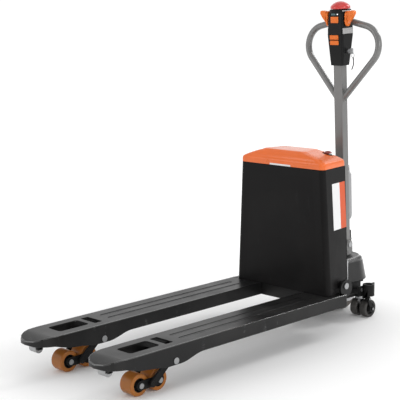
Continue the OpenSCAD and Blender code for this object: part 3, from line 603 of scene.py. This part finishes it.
@dataclass
class Stage:
    """Floor, backdrop, lamps and camera."""

    place: Point = (-3.0927, -3.0636, 1.3260)
    azimuth: float = -44.03
    elevation: float = 9.78
    roll: float = -0.96
    lens: float = 102.4
    sensor: float = 36.0
    # Metres from the truck over which the floor's glow comes in: painted shade on the floor round
    # the truck
    painted_shade_fade: Pair = (0.35, 1.9)
    floor_glow: float = 0.5
    wall_size: float = 50.0
    wall_gap: float = 22.0
    wall_glow: float = 1.02
    sky: float = 0.72
    lamps: tuple[Lamp, ...] = (
        Lamp("lamp_top", (-0.2, -0.8, 3.6), (0, 0, 0.2), 2.4, 8.0),
        Lamp("lamp_right", (0.4, -3.8, 1.9), (0, 0, 0.3), 1.4, 26.0),
        Lamp("lamp_left", (-2.6, 1.9, 2.0), (0, 0, 0.3), 1.8, 16.0),
        Lamp("lamp_front", (-1.2, -3.4, 1.7), (0, 0, 0.4), 1.6, 8.0),
        Lamp("lamp_rear", (3.2, -0.8, 2.9), (0.2, -0.1, 0.2), 0.9, 34.0),
    )

    def camera(self) -> None:
        """Make the camera at its place and turn."""
        a, e, r = (radians(v) for v in (self.azimuth, self.elevation, self.roll))
        back = Vector((sin(a) * cos(e), -cos(a) * cos(e), sin(e)))
        right = Vector((cos(a), sin(a), 0.0))
        up = back.cross(right)
        side = right * cos(r) + up * sin(r)
        top = up * cos(r) - right * sin(r)
        data = bpy.data.cameras.new("camera")
        data.lens, data.sensor_width, data.sensor_fit = self.lens, self.sensor, "HORIZONTAL"
        data.clip_start, data.clip_end = 0.05, 60.0
        obj = bpy.data.objects.new("camera", data)
        turn = Matrix((side, top, back)).transposed().to_4x4()
        obj.matrix_world = Matrix.Translation(Vector(self.place)) @ turn
        bpy.context.scene.collection.objects.link(obj)
        bpy.context.scene.camera = obj

    def sheet(
        self, name: str, net: Net, size: float, place: Point, turn: Point = (0, 0, 0)
    ) -> None:
        """Make a wide flat sheet that belongs to the stage."""
        idle()
        bpy.ops.mesh.primitive_plane_add(size=size, location=place, rotation=turn)
        obj = bpy.context.object
        obj.name = name
        obj.data.materials.append(net.material)
        apply_place(obj)
        idle()

    def floor(self) -> None:
        """Make a wide pale floor that glows more with the distance from the truck, the missing glow
        near it a painted shade round the truck.
        """
        net = Net("floor_pale")
        along, across = net.axis("X"), net.axis("Y")
        away = (along * along * 0.6 + across * across) ** 0.5
        net.surface({
            "Base Color": rgba((0.86, 0.86, 0.86)), "Roughness": 0.85, "Specular IOR Level": 0.1,
            "Emission Color": net.mix(away.ramp(*self.painted_shade_fade), rgba(BLACK), rgba(WHITE)),
            "Emission Strength": self.floor_glow,
        })
        self.sheet("floor", net, 60.0, (0, 0, CAD_BOX[0][2] - 0.0003))

    def backdrop(self) -> None:
        """Make a tall white wall far behind the truck."""
        net = Net("backdrop_white")
        net.surface({
            "Base Color": rgba(BLACK), "Emission Color": rgba(WHITE),
            "Emission Strength": self.wall_glow,
        })
        a = radians(self.azimuth)
        place = (-self.wall_gap * sin(a), self.wall_gap * cos(a), 10)
        self.sheet("backdrop", net, self.wall_size, place, (pi / 2, 0, a))

    def build(self) -> None:
        """Make the camera, floor, backdrop, lamps and sky."""
        self.camera()
        self.floor()
        self.backdrop()
        for lamp in self.lamps:
            lamp.build()
        world = bpy.data.worlds.new("sky")
        world.use_nodes = True
        sky = world.node_tree.nodes["Background"].inputs
        sky[0].default_value = rgba(WHITE)
        sky[1].default_value = self.sky
        scene = bpy.context.scene
        scene.world = world
        scene.view_settings.view_transform = "Standard"
        scene.view_settings.look = "None"


# ---- Shape makers ----


def lathe(profile: list[Pair], place: Point, axis: str, steps: int = 64) -> Thing:
    """Spin a closed profile once round an axis.

    Args:
        profile: Radius and place along the axis of each corner, in metres.
        place: Centre of the spin.
        axis: Y or Z.
        steps: Facets in the turn.

    Returns:
        A closed shell with outward faces.
    """
    idle()
    bpy.ops.mesh.primitive_circle_add(vertices=len(profile), radius=0.01)
    obj = bpy.context.object
    for vertex, (radius, along) in zip(obj.data.vertices, profile):
        vertex.co = (radius, 0.0, along)
    edit(obj)
    bpy.ops.mesh.spin(steps=steps, angle=2 * pi, center=(0, 0, 0), axis=(0, 0, 1))
    tidy_skin(obj)
    obj.rotation_euler = {"Y": (-pi / 2, 0, 0), "Z": (0, 0, 0)}[axis]
    obj.location = place
    apply_place(obj)
    return obj


def block(low: Point, high: Point, rounds: float, segments: int = 3) -> Thing:
    """Make a block between two corners with rounded edges.

    Args:
        low: Lowest corner.
        high: Highest corner.
        rounds: Radius of its edges.
        segments: Steps across a round.

    Returns:
        The block.
    """
    idle()
    middle = (Vector(low) + Vector(high)) / 2
    bpy.ops.mesh.primitive_cube_add(size=1.0, location=middle)
    obj = bpy.context.object
    obj.scale = Vector(high) - Vector(low)
    apply_place(obj)
    round_edges(obj, rounds, segments)
    shade(obj)
    return obj


def turns(start: int, stop: int, step: int) -> list[float]:
    """Angles in radians between two whole degrees."""
    return [radians(a) for a in range(start, stop, step)]


def tube(points: list[Point], diameter: float, closed: bool = False, sides: int = 6) -> Thing:
    """Sweep a round tube along points.

    Args:
        points: Middle of the tube.
        diameter: Outer diameter.
        closed: Whether it joins its own start.
        sides: Curve resolution of the section.

    Returns:
        The tube as a mesh.
    """
    idle()
    curve = bpy.data.curves.new("tube", "CURVE")
    curve.dimensions = "3D"
    curve.bevel_depth, curve.bevel_resolution = diameter / 2, sides
    curve.use_fill_caps = not closed
    line = curve.splines.new("POLY")
    line.points.add(len(points) - 1)
    for knot, point in zip(line.points, points):
        knot.co = (*point, 1.0)
    line.use_cyclic_u = closed
    obj = bpy.data.objects.new("tube", curve)
    bpy.context.scene.collection.objects.link(obj)
    take(obj)
    bpy.ops.object.convert(target="MESH")
    obj = bpy.context.object
    tidy_skin(obj)
    shade(obj, 40)
    return obj


def joined(parts: list[Thing]) -> Thing:
    """Join several objects into the first."""
    idle()
    for part in parts:
        part.select_set(True)
    bpy.context.view_layer.objects.active = parts[0]
    bpy.ops.object.join()
    return parts[0]


def screw_head(place: Point, sign: int, radius: float, height: float) -> Thing:
    """Make a domed screw head along Y with a hexagon socket.

    Args:
        place: Centre of its seat.
        sign: 1 where it faces +Y, and -1 where it faces -Y.
        radius: Radius of the head.
        height: Height of the head.

    Returns:
        The head.
    """
    idle()
    r, h = radius, height
    bpy.ops.mesh.primitive_cylinder_add(vertices=36, radius=r, depth=h, location=(0, 0, h / 2))
    obj = bpy.context.object
    edit(obj)
    pick(obj, "FACE", lambda f: f.normal.z > 0.9)
    bpy.ops.mesh.inset(thickness=r * 0.24)
    bpy.ops.transform.translate(value=(0, 0, h * 0.22))
    bpy.ops.mesh.inset(thickness=r * 0.3)
    bpy.ops.mesh.extrude_region_move(TRANSFORM_OT_translate={"value": (0, 0, -h * 0.5)})
    idle()
    for vertex in obj.data.vertices:
        flat = hypot(vertex.co.x, vertex.co.y)
        if 0 < flat < r * 0.55 and abs(vertex.co.z - h * 1.22) < h * 0.6:
            turn = atan2(vertex.co.y, vertex.co.x)
            wedge = (turn % (pi / 3)) - pi / 6
            reach = r * 0.4 / cos(wedge)
            vertex.co.x, vertex.co.y = reach * cos(turn), reach * sin(turn)
    round_edges(obj, r * 0.05, 2, 40)
    obj.rotation_euler = (-sign * pi / 2, 0, 0)
    obj.location = place
    apply_place(obj)
    shade(obj, 40)
    return obj


def bridged(rings: list[list[Point]]) -> Thing:
    """Bridge closed rings of equal counts into a skin that is open at its ends.

    Args:
        rings: Rings in order, each a list of points.

    Returns:
        The skin.
    """
    made = []
    for ring in rings:
        idle()
        bpy.ops.mesh.primitive_circle_add(vertices=len(ring), radius=0.1)
        made.append(bpy.context.object)
        for vertex, point in zip(made[-1].data.vertices, ring):
            vertex.co = point
        made[-1].location = (0, 0, 0)
    obj = joined(made)
    edit(obj)
    bpy.ops.mesh.bridge_edge_loops()
    idle()
    return obj


# ---- Forks and rollers ----


@dataclass
class Fork:
    """Pressed fork whose outer top edge is rolled, its rim glossier and painted lighter as a
    highlight.
    """

    side: str
    rim: float = 3.2 * MM
    small: float = 1.2 * MM
    inner_half: float = 0.062
    nose: float = 0.03
    least_z: float = 0.13

    def build(self) -> None:
        """Roll the fork's outer top edge and round the rest."""
        node = "fork_" + self.side
        low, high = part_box(node)
        middle = (low.y + high.y) / 2
        nose = low.x + self.nose
        obj = copy_node(node)
        dress(obj, Look.FORK_PAINT, Look.FORK_RIM_PAINTED_HIGHLIGHT)
        edit(obj)

        def outer(edge: bmesh.types.BMEdge) -> bool:
            """Whether the edge runs between the top and an outer wall."""
            if len(edge.link_faces) != 2:
                return False
            top, wall = sorted((f.normal.z for f in edge.link_faces), reverse=True)
            centre = (edge.verts[0].co + edge.verts[1].co) / 2
            outside = abs(centre.y - middle) > self.inner_half or centre.x < nose
            return outside and top > 0.8 and abs(wall) < 0.3 and centre.z > self.least_z

        shape = shape_of(obj)
        pick(obj, "EDGE", outer)
        # The rounds of the outer top edge take the second finish, a painted highlight
        bpy.ops.mesh.bevel(offset=self.rim, segments=4, clamp_overlap=False, material=1)
        idle()
        round_edges(obj, self.small, 2, 40)
        keep_within(obj, shape)
        shade(obj)
        present(obj, node + "_pressing", None, node)


@dataclass
class Roller:
    """Wheel with a tread on a hub, turned about Y."""

    node: str
    tread: Look
    hub: Look
    bore: float
    hub_radius: float
    shoulder: float = 5.0 * MM
    web_share: float = 0.55

    def build(self) -> None:
        """Turn the tread and the hub."""
        low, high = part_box(self.node)
        centre = (low + high) / 2
        r, h = (high.z - low.z) / 2, (high.y - low.y) / 2
        s, k = self.shoulder, self.hub_radius
        tread = [(k - 1 * MM, -h + 0.6 * MM), (r - s, -h)]
        tread += [
            (r - s + s * sin(a), -h + s - s * cos(a))
            for a in (radians(v) for v in (20, 40, 60, 90))
        ]
        tread += [(x, -z) for x, z in reversed(tread)]
        obj = lathe(tread, centre, "Y", 72)
        shade(obj, 30)
        present(obj, self.node + "_tread", self.tread, self.node)
        web = h * self.web_share
        lip = k - 3.5 * MM
        cap = self.bore + 7 * MM
        flush = -h + 1 * MM
        face = [
            (self.bore, flush), (cap - 1 * MM, flush), (cap, -h + 2 * MM), (cap + 1.5 * MM, -web),
            (lip - 1 * MM, -web), (lip, -h + 2 * MM), (lip + 1 * MM, flush), (k, flush),
        ]
        face += [(x, -z) for x, z in reversed(face)]
        core = lathe(face, centre, "Y", 56)
        shade(core, 30)
        present(core, self.node + "_hub", self.hub, body=frame["nodes"][self.node]["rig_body"])


@dataclass
class Rollers:
    """All turning wheels of the truck, and the screws of the castor guards."""

    # Distance behind the plate's front and height of each screw
    guard_screws: tuple[Pair, ...] = ((0.009, 0.0857), (0.031, 0.038))

    def screws(self, side: str) -> None:
        """Make the screws of one castor's guard plate."""
        node = "castor_guard_" + side
        low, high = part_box(node)
        sign, face = (-1, low.y) if side == "right" else (1, high.y)
        heads = [
            screw_head((low.x + behind, face, z), sign, 5.5 * MM, 3 * MM)
            for behind, z in self.guard_screws
        ]
        present(joined(heads), node + "_screws", Look.ZINC, body="castor_" + side)

    def build(self) -> None:
        """Build the load rollers, castors and the drive wheel."""
        black = Look.HUB_BLACK
        for side in ("right", "left"):
            for end in ("front", "rear"):
                node = f"load_roller_{side}_{end}"
                Roller(node, Look.AMBER_PU, black, 8.05 * MM, 26.5 * MM).build()
            for end in ("outer", "inner"):
                node = f"castor_wheel_{side}_{end}"
                Roller(node, Look.DARK_TYRE, black, 6.05 * MM, 27 * MM).build()
            self.screws(side)
        Roller("drive_wheel", Look.DRIVE_TYRE, Look.ALUMINIUM, 12.05 * MM, 62 * MM).build()


# ---- Battery box, lid and drive cover ----


@dataclass
class BatteryBox:
    """Sheet box with a pressed front panel and a blank two-colour plate."""

    panel_margin: float = 0.032
    panel_depth: float = 0.0022
    foot_z: float = 0.165
    top_z: float = 0.672
    foot_width: float = 0.504
    top_width: float = 0.444
    depth: float = 0.168
    depth_taper: float = 0.016
    side_taper: float = 0.022
    corner: float = 0.02
    plate_gap: float = 0.9 * MM
    plate_wall: float = 0.6 * MM
    label_low: Pair = (0.0620, 0.424)
    label_high: Pair = (0.1600, 0.611)
    white_share: float = 0.57

    def case(self) -> None:
        """Press the front panel and round the edges."""
        obj = copy_node("battery_box")
        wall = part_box("battery_box")[0].x + 0.006
        edit(obj)

        def front(face: bmesh.types.BMFace) -> bool:
            """Whether a face is one of the two large faces of the front wall."""
            c = face.calc_center_median()
            middle = 0.35 < c.z < 0.5 and abs(c.y) < 0.05
            return abs(face.normal.x) > 0.99 and c.x < wall and middle

        pick(obj, "FACE", front)
        bpy.ops.mesh.inset(thickness=self.panel_margin, use_individual=True)
        bpy.ops.transform.translate(value=(self.panel_depth, 0, 0))
        bpy.ops.mesh.inset(thickness=0.003, use_individual=True)
        idle()
        round_edges(obj, 0.0012, 2, 25)
        shade(obj, 30)
        present(obj, "battery_box_case", Look.BOX_PAINT, "battery_box")

    def side_point(self, x: float, z: float) -> Point:
        """Point just off the near side wall.

        Args:
            x: Distance behind the box's front.
            z: Height.

        Returns:
            The point in the frame.
        """
        share = (z - self.foot_z) / (self.top_z - self.foot_z)
        half = (self.foot_width + (self.top_width - self.foot_width) * share) / 2
        deep = self.depth - (1 - share) * self.depth_taper
        y = -half + self.side_taper * (x - self.corner) / (deep - self.corner)
        return (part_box("battery_box")[0].x + x, y - self.plate_gap, z)

    def plate(self, name: str, start: float, end: float, look: Look) -> None:
        """Make one colour field of the blank plate.

        Args:
            name: Name of the piece.
            start: Share of the plate's width where it starts.
            end: Share where it ends.
            look: Its finish.
        """
        (x0, z0), (x1, z1) = self.label_low, self.label_high
        left, right = x0 + (x1 - x0) * start, x0 + (x1 - x0) * end
        idle()
        bpy.ops.mesh.primitive_grid_add(x_subdivisions=2, y_subdivisions=8, size=1.0)
        obj = bpy.context.object
        for vertex in obj.data.vertices:
            u, v = vertex.co.x + 0.5, vertex.co.y + 0.5
            vertex.co = self.side_point(left + (right - left) * u, z0 + (z1 - z0) * v)
        modify(obj, "SOLIDIFY", thickness=self.plate_wall, offset=-1.0)
        tidy_skin(obj)
        round_edges(obj, 0.0001, 1, 60)
        present(obj, name, look, body="lift_frame")

    def build(self) -> None:
        """Build the case and the plate."""
        self.case()
        self.plate("blank_plate_white", 0.0, self.white_share, Look.LABEL_WHITE)
        self.plate("blank_plate_orange", self.white_share, 1.0, Look.LABEL_ORANGE)


@dataclass
class Lid:
    """Moulded lid: rounded skirt, crown and raised middle panel."""

    rows: tuple[tuple[float, float, float, float, float], ...] = (
        # height above the box, half width, front inset, rear inset, shift along Y
        (0.0005, 0.223, 0, 0, 0),
        (0.02, 0.2226, 0, 0, 0),
        (0.0255, 0.219, 0.0022, 0.002, 0),
        (0.03, 0.211, 0.006, 0.005, 0),
        (0.0345, 0.199, 0.0075, 0.008, 0),
        (0.0415, 0.18, 0.011, 0.013, 0.001),
        (0.0485, 0.158, 0.016, 0.018, 0.003),
        (0.0545, 0.134, 0.021, 0.023, 0.005),
        (0.058, 0.12, 0.025, 0.027, 0.007),
        (0.0604, 0.115, 0.0265, 0.029, 0.008),
        (0.0625, 0.106, 0.03, 0.033, 0.009),
    )
    depth: float = 0.1695
    wall: float = 0.0028
    corner: float = 0.021
    rear_corner: float = 0.008
    side_taper: float = 0.022
    hinge_x: float = 0.174
    hinge_y: float = 0.12
    hinge_z: float = 0.686

    def outline(self, half: float, front: float, rear: float, shift: float) -> list[Point]:
        """Plan of one row, counter-clockwise from the near front corner.

        Args:
            half: Half width at the front.
            front: Inset of the front.
            rear: Inset of the rear.
            shift: Shift along Y.

        Returns:
            Points with z left at zero.
        """
        low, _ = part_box("lid")
        x0, x1 = low.x + front, low.x + self.depth - rear
        r, q, back = self.corner, self.rear_corner, half - self.side_taper
        points: list[Point] = []
        for i in range(7):
            a = radians(90 * i / 6)
            points.append((x0 + r - r * cos(a), shift - half + r - r * sin(a), 0.0))
        for t in (i / 7 for i in range(1, 7)):
            points.append((x0 + r + (x1 - q - x0 - r) * t, shift - half + (half - back) * t, 0.0))
        for i in range(4):
            a = radians(90 * i / 3)
            points.append((x1 - q + q * sin(a), shift - back + q - q * cos(a), 0.0))
        turned = [(x, 2 * shift - y, 0.0) for x, y, _ in reversed(points)]
        steps = [1 - i / 5 for i in range(1, 10)]
        points += [(x1, shift + (-back + q) * step, 0.0) for step in steps]
        points += turned
        return points + [(x0, shift + (half - r) * step, 0.0) for step in steps]

    def shell(self) -> Thing:
        """Bridge the rows, close the top and give the wall its thickness."""
        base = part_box("lid")[0].z
        rings = []
        for height, *row in self.rows:
            rings.append([(x, y, base + height) for x, y, _ in self.outline(*row)])
        obj = bridged(rings)
        edit(obj)
        roof = rings[-1][0][2] - 1e-5
        pick(obj, "EDGE", lambda e: e.is_boundary and min(v.co.z for v in e.verts) > roof)
        bpy.ops.mesh.edge_face_add()
        bpy.ops.mesh.inset(thickness=0.012)
        bpy.ops.mesh.select_all(action="SELECT")
        bpy.ops.mesh.normals_make_consistent(inside=False)
        idle()
        modify(obj, "SUBSURF", levels=2, render_levels=2)
        modify(obj, "SOLIDIFY", thickness=self.wall, offset=-1.0)
        return obj

    def hinges(self, x: float) -> list[Thing]:
        """Make the four hinge eyes and their webs on a hinge line."""
        ring = [
            (0.00405, -0.006), (0.007, -0.006), (0.0075, -0.0055), (0.0075, 0.0055),
            (0.007, 0.006), (0.00405, 0.006),
        ]
        made = []
        for side in (-1, 1):
            for end in (-1, 1):
                y = side * self.hinge_y + end * 0.022
                made.append(lathe(ring, (x, y, self.hinge_z), "Y", 32))
                web = ((x - 0.009, y - 0.006, self.hinge_z - 0.001), (x, y + 0.006, 0.6935))
                made.append(block(*web, 0.0008))
        return made

    def build(self) -> None:
        """Make the shell, cut it for the stop button and hinges, and add what they need."""
        obj = self.shell()
        stop_low, stop_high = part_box("emergency_stop_collar")
        stop = (stop_low + stop_high) / 2
        seat = stop_high.z - 0.006
        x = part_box("battery_box")[0].x + self.hinge_x
        idle()
        bpy.ops.mesh.primitive_cylinder_add(
            vertices=48, radius=0.023, depth=0.08, location=(stop.x, stop.y, seat + 0.04)
        )
        cutters = [bpy.context.object]
        for y in (-self.hinge_y, self.hinge_y):
            cutters.append(
                block((x - 0.014, y - 0.016, 0.667), (x + 0.01, y + 0.016, 0.727), 0.001, 1)
            )
        cutter = joined(cutters)
        modify(obj, "BOOLEAN", operation="DIFFERENCE", object=cutter, solver="EXACT")
        bpy.data.objects.remove(cutter)
        round_edges(obj, 0.0008, 2, 40)
        boss = [
            (0.0112, 0.0), (0.0226, 0.0), (0.0232, -0.0008), (0.0232, -0.012), (0.0112, -0.012),
        ]
        collar = lathe(boss, (stop.x, stop.y, seat - 0.0002), "Z", 48)
        obj = joined([obj, collar, *self.hinges(x)])
        shade(obj, 60)
        present(obj, "lid_shell", Look.LID_SHELL, "lid")
        # White strip along the lid's lower front edge: a painted highlight on the skirt's lip
        front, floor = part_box("lid")[0].x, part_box("lid")[0].z
        low, high = (front - 0.0012, -0.056, floor + 0.0008), (front + 0.002, 0.056, floor + 0.0078)
        present(block(low, high, 0.0008, 2), "lid_painted_highlight_strip", Look.LABEL_WHITE, body="lid")


@dataclass
class DriveCover:
    """Moulded shell over the drive, its rounded edges glossier and painted lighter as a highlight.
    """

    rounds: float = 3.5 * MM

    def build(self) -> None:
        """Round the edges of the CAD shell."""
        obj = copy_node("drive_cover")
        dress(obj, Look.COVER_PLASTIC, Look.COVER_RIM_PAINTED_HIGHLIGHT)
        # The rounds take the second finish, a painted highlight
        round_edges(obj, self.rounds, 3, 14, 1)
        shade(obj, 40)
        present(obj, "drive_cover_shell", None, "drive_cover")


# ---- Tiller ----


@dataclass
class Tiller:
    """Mast, handle loop and gas spring, made upright and leant over round the foot."""

    lean: float = 2.1
    foot: Point = (0.736, 0.0, 0.285)
    loop_foot: float = 0.636
    loop_lean: float = 0.092
    loop_start: Pair = (0.0212, 0.6417)
    loop_end: Pair = (0.0412, 0.9574)
    arc_middle: Pair = (0.1035, 0.857)
    arc_radius: float = 0.084
    tube_width: float = 0.028
    weld_middle: Pair = (0.0231, 0.644)
    weld_half: Pair = (0.0145, 0.0212)
    weld_width: float = 0.0045
    spring_x: float = 0.038

    def lean_over(self, obj: Thing) -> Thing:
        """Turn a piece made in the tiller's own frame into place."""
        take(obj)
        turn = Matrix.Rotation(-radians(self.lean), 4, "Y")
        obj.data.transform(Matrix.Translation(self.foot) @ turn)
        return obj

    def loop_points(self, side: int) -> list[Point]:
        """Middle line of half the loop from the mast to the head."""
        (y0, z0), r = self.arc_middle, self.arc_radius
        arc = [(y0 + r * cos(t), z0 + r * sin(t)) for t in turns(-44, 78, 4)]
        (y1, z1), (y2, z2) = self.loop_start, arc[0]
        leg = [(y1 + (y2 - y1) * i / 8, z1 + (z2 - z1) * i / 8) for i in range(8)]
        line = [*leg, *arc, self.loop_end]
        return [((z - self.loop_foot) * self.loop_lean, side * y, z) for y, z in line]

    def weld_points(self, side: int) -> list[Point]:
        """Uneven ring where half the loop meets the mast."""
        (y, z), (a, b) = self.weld_middle, self.weld_half
        ring = []
        for t in turns(0, 360, 12):
            wave = 1 + 0.015 * sin(5 * t)
            ring.append((a * wave * cos(t), side * y, z + b * wave * sin(t)))
        return ring

    def loop(self) -> None:
        """Bend the tube, and weld it to the mast."""
        parts = []
        for side in (-1, 1):
            parts.append(tube(self.loop_points(side), self.tube_width, sides=8))
            parts.append(tube(self.weld_points(side), self.weld_width, closed=True, sides=3))
        obj = self.lean_over(joined(parts))
        shade(obj, 40)
        present(obj, "handle_loop_tube", Look.TILLER_PAINT, "handle_loop")

    def spring(self) -> None:
        """Turn the gas spring's barrel."""
        profile = [
            (0.00515, 0.104), (0.009, 0.104), (0.0115, 0.106), (0.0158, 0.119), (0.0165, 0.122),
            (0.0165, 0.300), (0.0158, 0.3055), (0.0135, 0.308), (0.010, 0.3085), (0.010, 0.3165),
            (0.005, 0.3175), (0.005, 0.3335), (0.0085, 0.334), (0.009, 0.335), (0.009, 0.339),
            (0.0085, 0.340), (0.0, 0.340), (0.0, 0.292), (0.00515, 0.290),
        ]
        obj = self.lean_over(lathe(profile, (self.spring_x, 0.0, 0.0), "Z", 48))
        shade(obj, 32)
        present(obj, "gas_spring_barrel", Look.SPRING_GREY, "gas_spring")

    def build(self) -> None:
        """Build the mast, the loop and the gas spring."""
        soften("tiller_mast", Look.TILLER_PAINT, 2.8 * MM, 4, 50, 40, "_tube")
        self.loop()
        self.spring()


@dataclass
class Head:
    """Control head: body, bands, bezels, screen, lamp, buttons, throttle, dome and key ring."""

    tiller: Tiller
    base: float = 0.776
    dome_x: float = 0.009
    dome_radius: float = 0.0519
    dome_z: float = 0.215
    mark_radius: float = 0.0452
    key_y: float = 0.003
    bezel_width: float = 0.0028

    def fix(self, obj: Thing, name: str, look: Look, node: str = "") -> None:
        """Lean a piece over with the tiller and present it."""
        present(self.tiller.lean_over(obj), name, look, node, "" if node else "tiller")

    def bezel(
        self, name: str, low: float, high: float, face: float, half: float, slope: float
    ) -> None:
        """Frame round a group of buttons on the front.

        Args:
            name: Name of the piece.
            low: Lower edge of the opening above the head's foot.
            high: Upper edge.
            face: Front of the frame at its middle.
            half: Half width of the opening.
            slope: Change of the front for each metre upwards.
        """
        w, lap = self.bezel_width, 0.0002
        z0, z1, middle = self.base + low, self.base + high, self.base + (low + high) / 2
        left, right = self.key_y - half, self.key_y + half
        bars = [
            ((left - w, z0 - w), (right + w, z0)), ((left - w, z1), (right + w, z1 + w)),
            ((left - w, z0 - lap), (left, z1 + lap)), ((right, z0 - lap), (right + w, z1 + lap)),
        ]
        obj = joined([block((face, *a), (face + 0.006, *b), 0.0009, 2) for a, b in bars])
        take(obj)
        tilt = ((1, 0, slope, -slope * middle), (0, 1, 0, 0), (0, 0, 1, 0), (0, 0, 0, 1))
        obj.data.transform(Matrix(tilt))
        obj = self.tiller.lean_over(obj)
        shade(obj, 40)
        present(obj, name, Look.BLACK_PLASTIC, body="tiller")

    def screen(self) -> None:
        """Small display under the dome, its frame and the lamp beside it."""
        z = self.base
        rim = block((-0.0272, -0.022, z + 0.2086), (-0.022, 0.024, z + 0.2187), 0.0012)
        self.fix(rim, "display_frame", Look.BLACK_PLASTIC)
        glass = block((-0.0277, -0.002, z + 0.2098), (-0.0266, 0.0205, z + 0.2176), 0.0004, 2)
        self.fix(glass, "display_glass", Look.SCREEN)
        lamp = [(0.0, 0.0), (0.0026, 0.0), (0.0024, 0.0012), (0.0014, 0.0019), (0.0, 0.0021)]
        dot = lathe(lamp, (0, 0, 0), "Z", 20)
        place = Matrix.Translation((-0.0271, -0.0125, z + 0.2137))
        dot.data.transform(place @ Matrix.Rotation(-pi / 2, 4, "Y"))
        shade(dot, 50)
        self.fix(dot, "display_lamp", Look.LAMP_WHITE)

    def dome(self) -> None:
        """Turn the red dome, with its plunger, and a light crescent on the collar."""
        profile = [
            (0.0, 0.2121), (0.0098, 0.2121), (0.0099, 0.2352), (0.0405, 0.2352),
            (0.0415, 0.2358), (0.0419, 0.2370), (0.0419, 0.2425), (0.0417, 0.2445),
            (0.0410, 0.2464),
        ]
        r = self.dome_radius
        for t in (radians(a) for a in (50, 44, 38, 32, 26, 20, 14, 8, 3)):
            profile.append((r * sin(t), self.dome_z + r * cos(t)))
        profile.append((0.0, 0.2669))
        raised = [(out, z + self.base) for out, z in profile]
        obj = lathe(raised, (self.dome_x, 0.0, 0.0), "Z", 64)
        shade(obj, 30)
        self.fix(obj, "belly_dome", Look.STOP_RED, "belly_button")
        x, z, r = self.dome_x, self.base + 0.2275, self.mark_radius
        arc = [(x + r * cos(t), r * sin(t), z) for t in turns(228, 321, 4)]
        self.fix(tube(arc, 0.0030, sides=3), "collar_mark", Look.MARK_WHITE)

    def key(self) -> None:
        """Wire ring and stiff moulded tag that hang from the key."""
        low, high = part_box("ignition_key")
        x, y, z = (low.x + high.x) / 2, low.y + 0.004, low.z + 0.004
        ring = []
        for t in turns(0, 360, 12):
            c, s = cos(t), sin(t)
            ring.append((x + 0.010 * c, y - 0.001 + 0.002 * s, z - 0.008 + 0.010 * s))
        wire = tube(ring, 0.0013, closed=True, sides=3)
        present(wire, "key_ring", Look.DARK_STEEL, body="ignition_key")
        tag = []
        for share in (i / 12 for i in range(13)):
            bow = 0.006 * sin(pi * share) - 0.008 * share**2
            tag.append((x + bow, y - 0.003, z - 0.017 - 0.052 * share))
        strip = tube(tag, 0.0044, sides=4)
        present(strip, "key_tag", Look.BLACK_PLASTIC, body="ignition_key")

    def build(self) -> None:
        """Build the whole head."""
        soften("control_head", Look.HEAD_PLASTIC, 1.2 * MM, 2, 30, 40)
        soften("head_band", Look.BAND_GREY, 0.8 * MM)
        self.bezel("bezel_pair", 0.0862, 0.1283, -0.0328, 0.0231, -0.0547)
        self.bezel("bezel_top", 0.1775, 0.2045, -0.0286, 0.0206, 0.0606)
        self.screen()
        for node in ("lower_button", "lift_button", "horn_button"):
            soften(node, Look.BUTTON_ORANGE, 1.8 * MM, 3)
        self.dome()
        soften("throttle", Look.BUTTON_ORANGE, 2.8 * MM, 3)
        self.key()


# ---- The truck ----


@dataclass
class Ironwork:
    """Welded and machined parts whose CAD shape is kept, with rounded edges."""

    # Node, with a star for its side; finish; width of the rounds in millimetres
    parts: tuple[tuple[str, Look, float], ...] = (
        ("chassis", Look.FRAME_PAINT, 1.2), ("pump_unit", Look.ALUMINIUM, 1.5),
        ("lift_cylinder", Look.FRAME_PAINT, 1.0), ("lift_ram", Look.BRIGHT_STEEL, 0.8),
        ("chassis_bolts", Look.ZINC, 0.7), ("slew_ring", Look.DARK_STEEL, 0.8),
        ("heel_frame", Look.FORK_PAINT, 1.2), ("batteries", Look.BATTERY_CASE, 1.5),
        ("controller", Look.ALUMINIUM, 0.7), ("charger", Look.BAND_GREY, 1.5),
        ("frame_bolts", Look.ZINC, 0.7), ("pivot_pins", Look.ZINC, 0.8),
        ("push_rod_*", Look.DARK_STEEL, 0.7), ("rocker", Look.FRAME_PAINT, 0.8),
        ("load_arm_*", Look.FRAME_PAINT, 0.9), ("drive_motor", Look.MOTOR_BLACK, 1.0),
        ("drive_gearbox", Look.ALUMINIUM, 1.0), ("tiller_base", Look.CAST_GREY, 0.8),
        ("tiller_pin", Look.ZINC, 0.8), ("gas_spring_rod", Look.DARK_STEEL, 0.3),
        ("castor_fork_*", Look.ZINC, 0.8), ("castor_guard_*", Look.FRAME_PAINT, 0.8),
        ("bogie_*", Look.FRAME_PAINT, 0.9), ("bogie_bolts_*", Look.ZINC, 0.8),
        ("entry_roller_*", Look.ZINC, 1.0), ("ignition_key", Look.ZINC, 0.5),
    )

    def build(self) -> None:
        """Soften every part."""
        for name, look, width in self.parts:
            for side in ("right", "left") if "*" in name else ("",):
                soften(name.replace("*", side), look, width * MM)


def main() -> None:
    """Build every sub-assembly in order."""
    logging.basicConfig(level=logging.INFO, format="%(message)s")
    Stage().build()
    Ironwork().build()
    for side in ("right", "left"):
        Fork(side).build()
    Rollers().build()
    BatteryBox().build()
    Lid().build()
    DriveCover().build()
    tiller = Tiller()
    tiller.build()
    Head(tiller).build()
    # The emergency stop's red is darkened as painted shade
    soften("emergency_stop", Look.STOP_RED_PAINTED_SHADE, 1 * MM)
    soften("emergency_stop_collar", Look.BLACK_PLASTIC, 0.8 * MM)


if __name__ == "__main__":
    main()
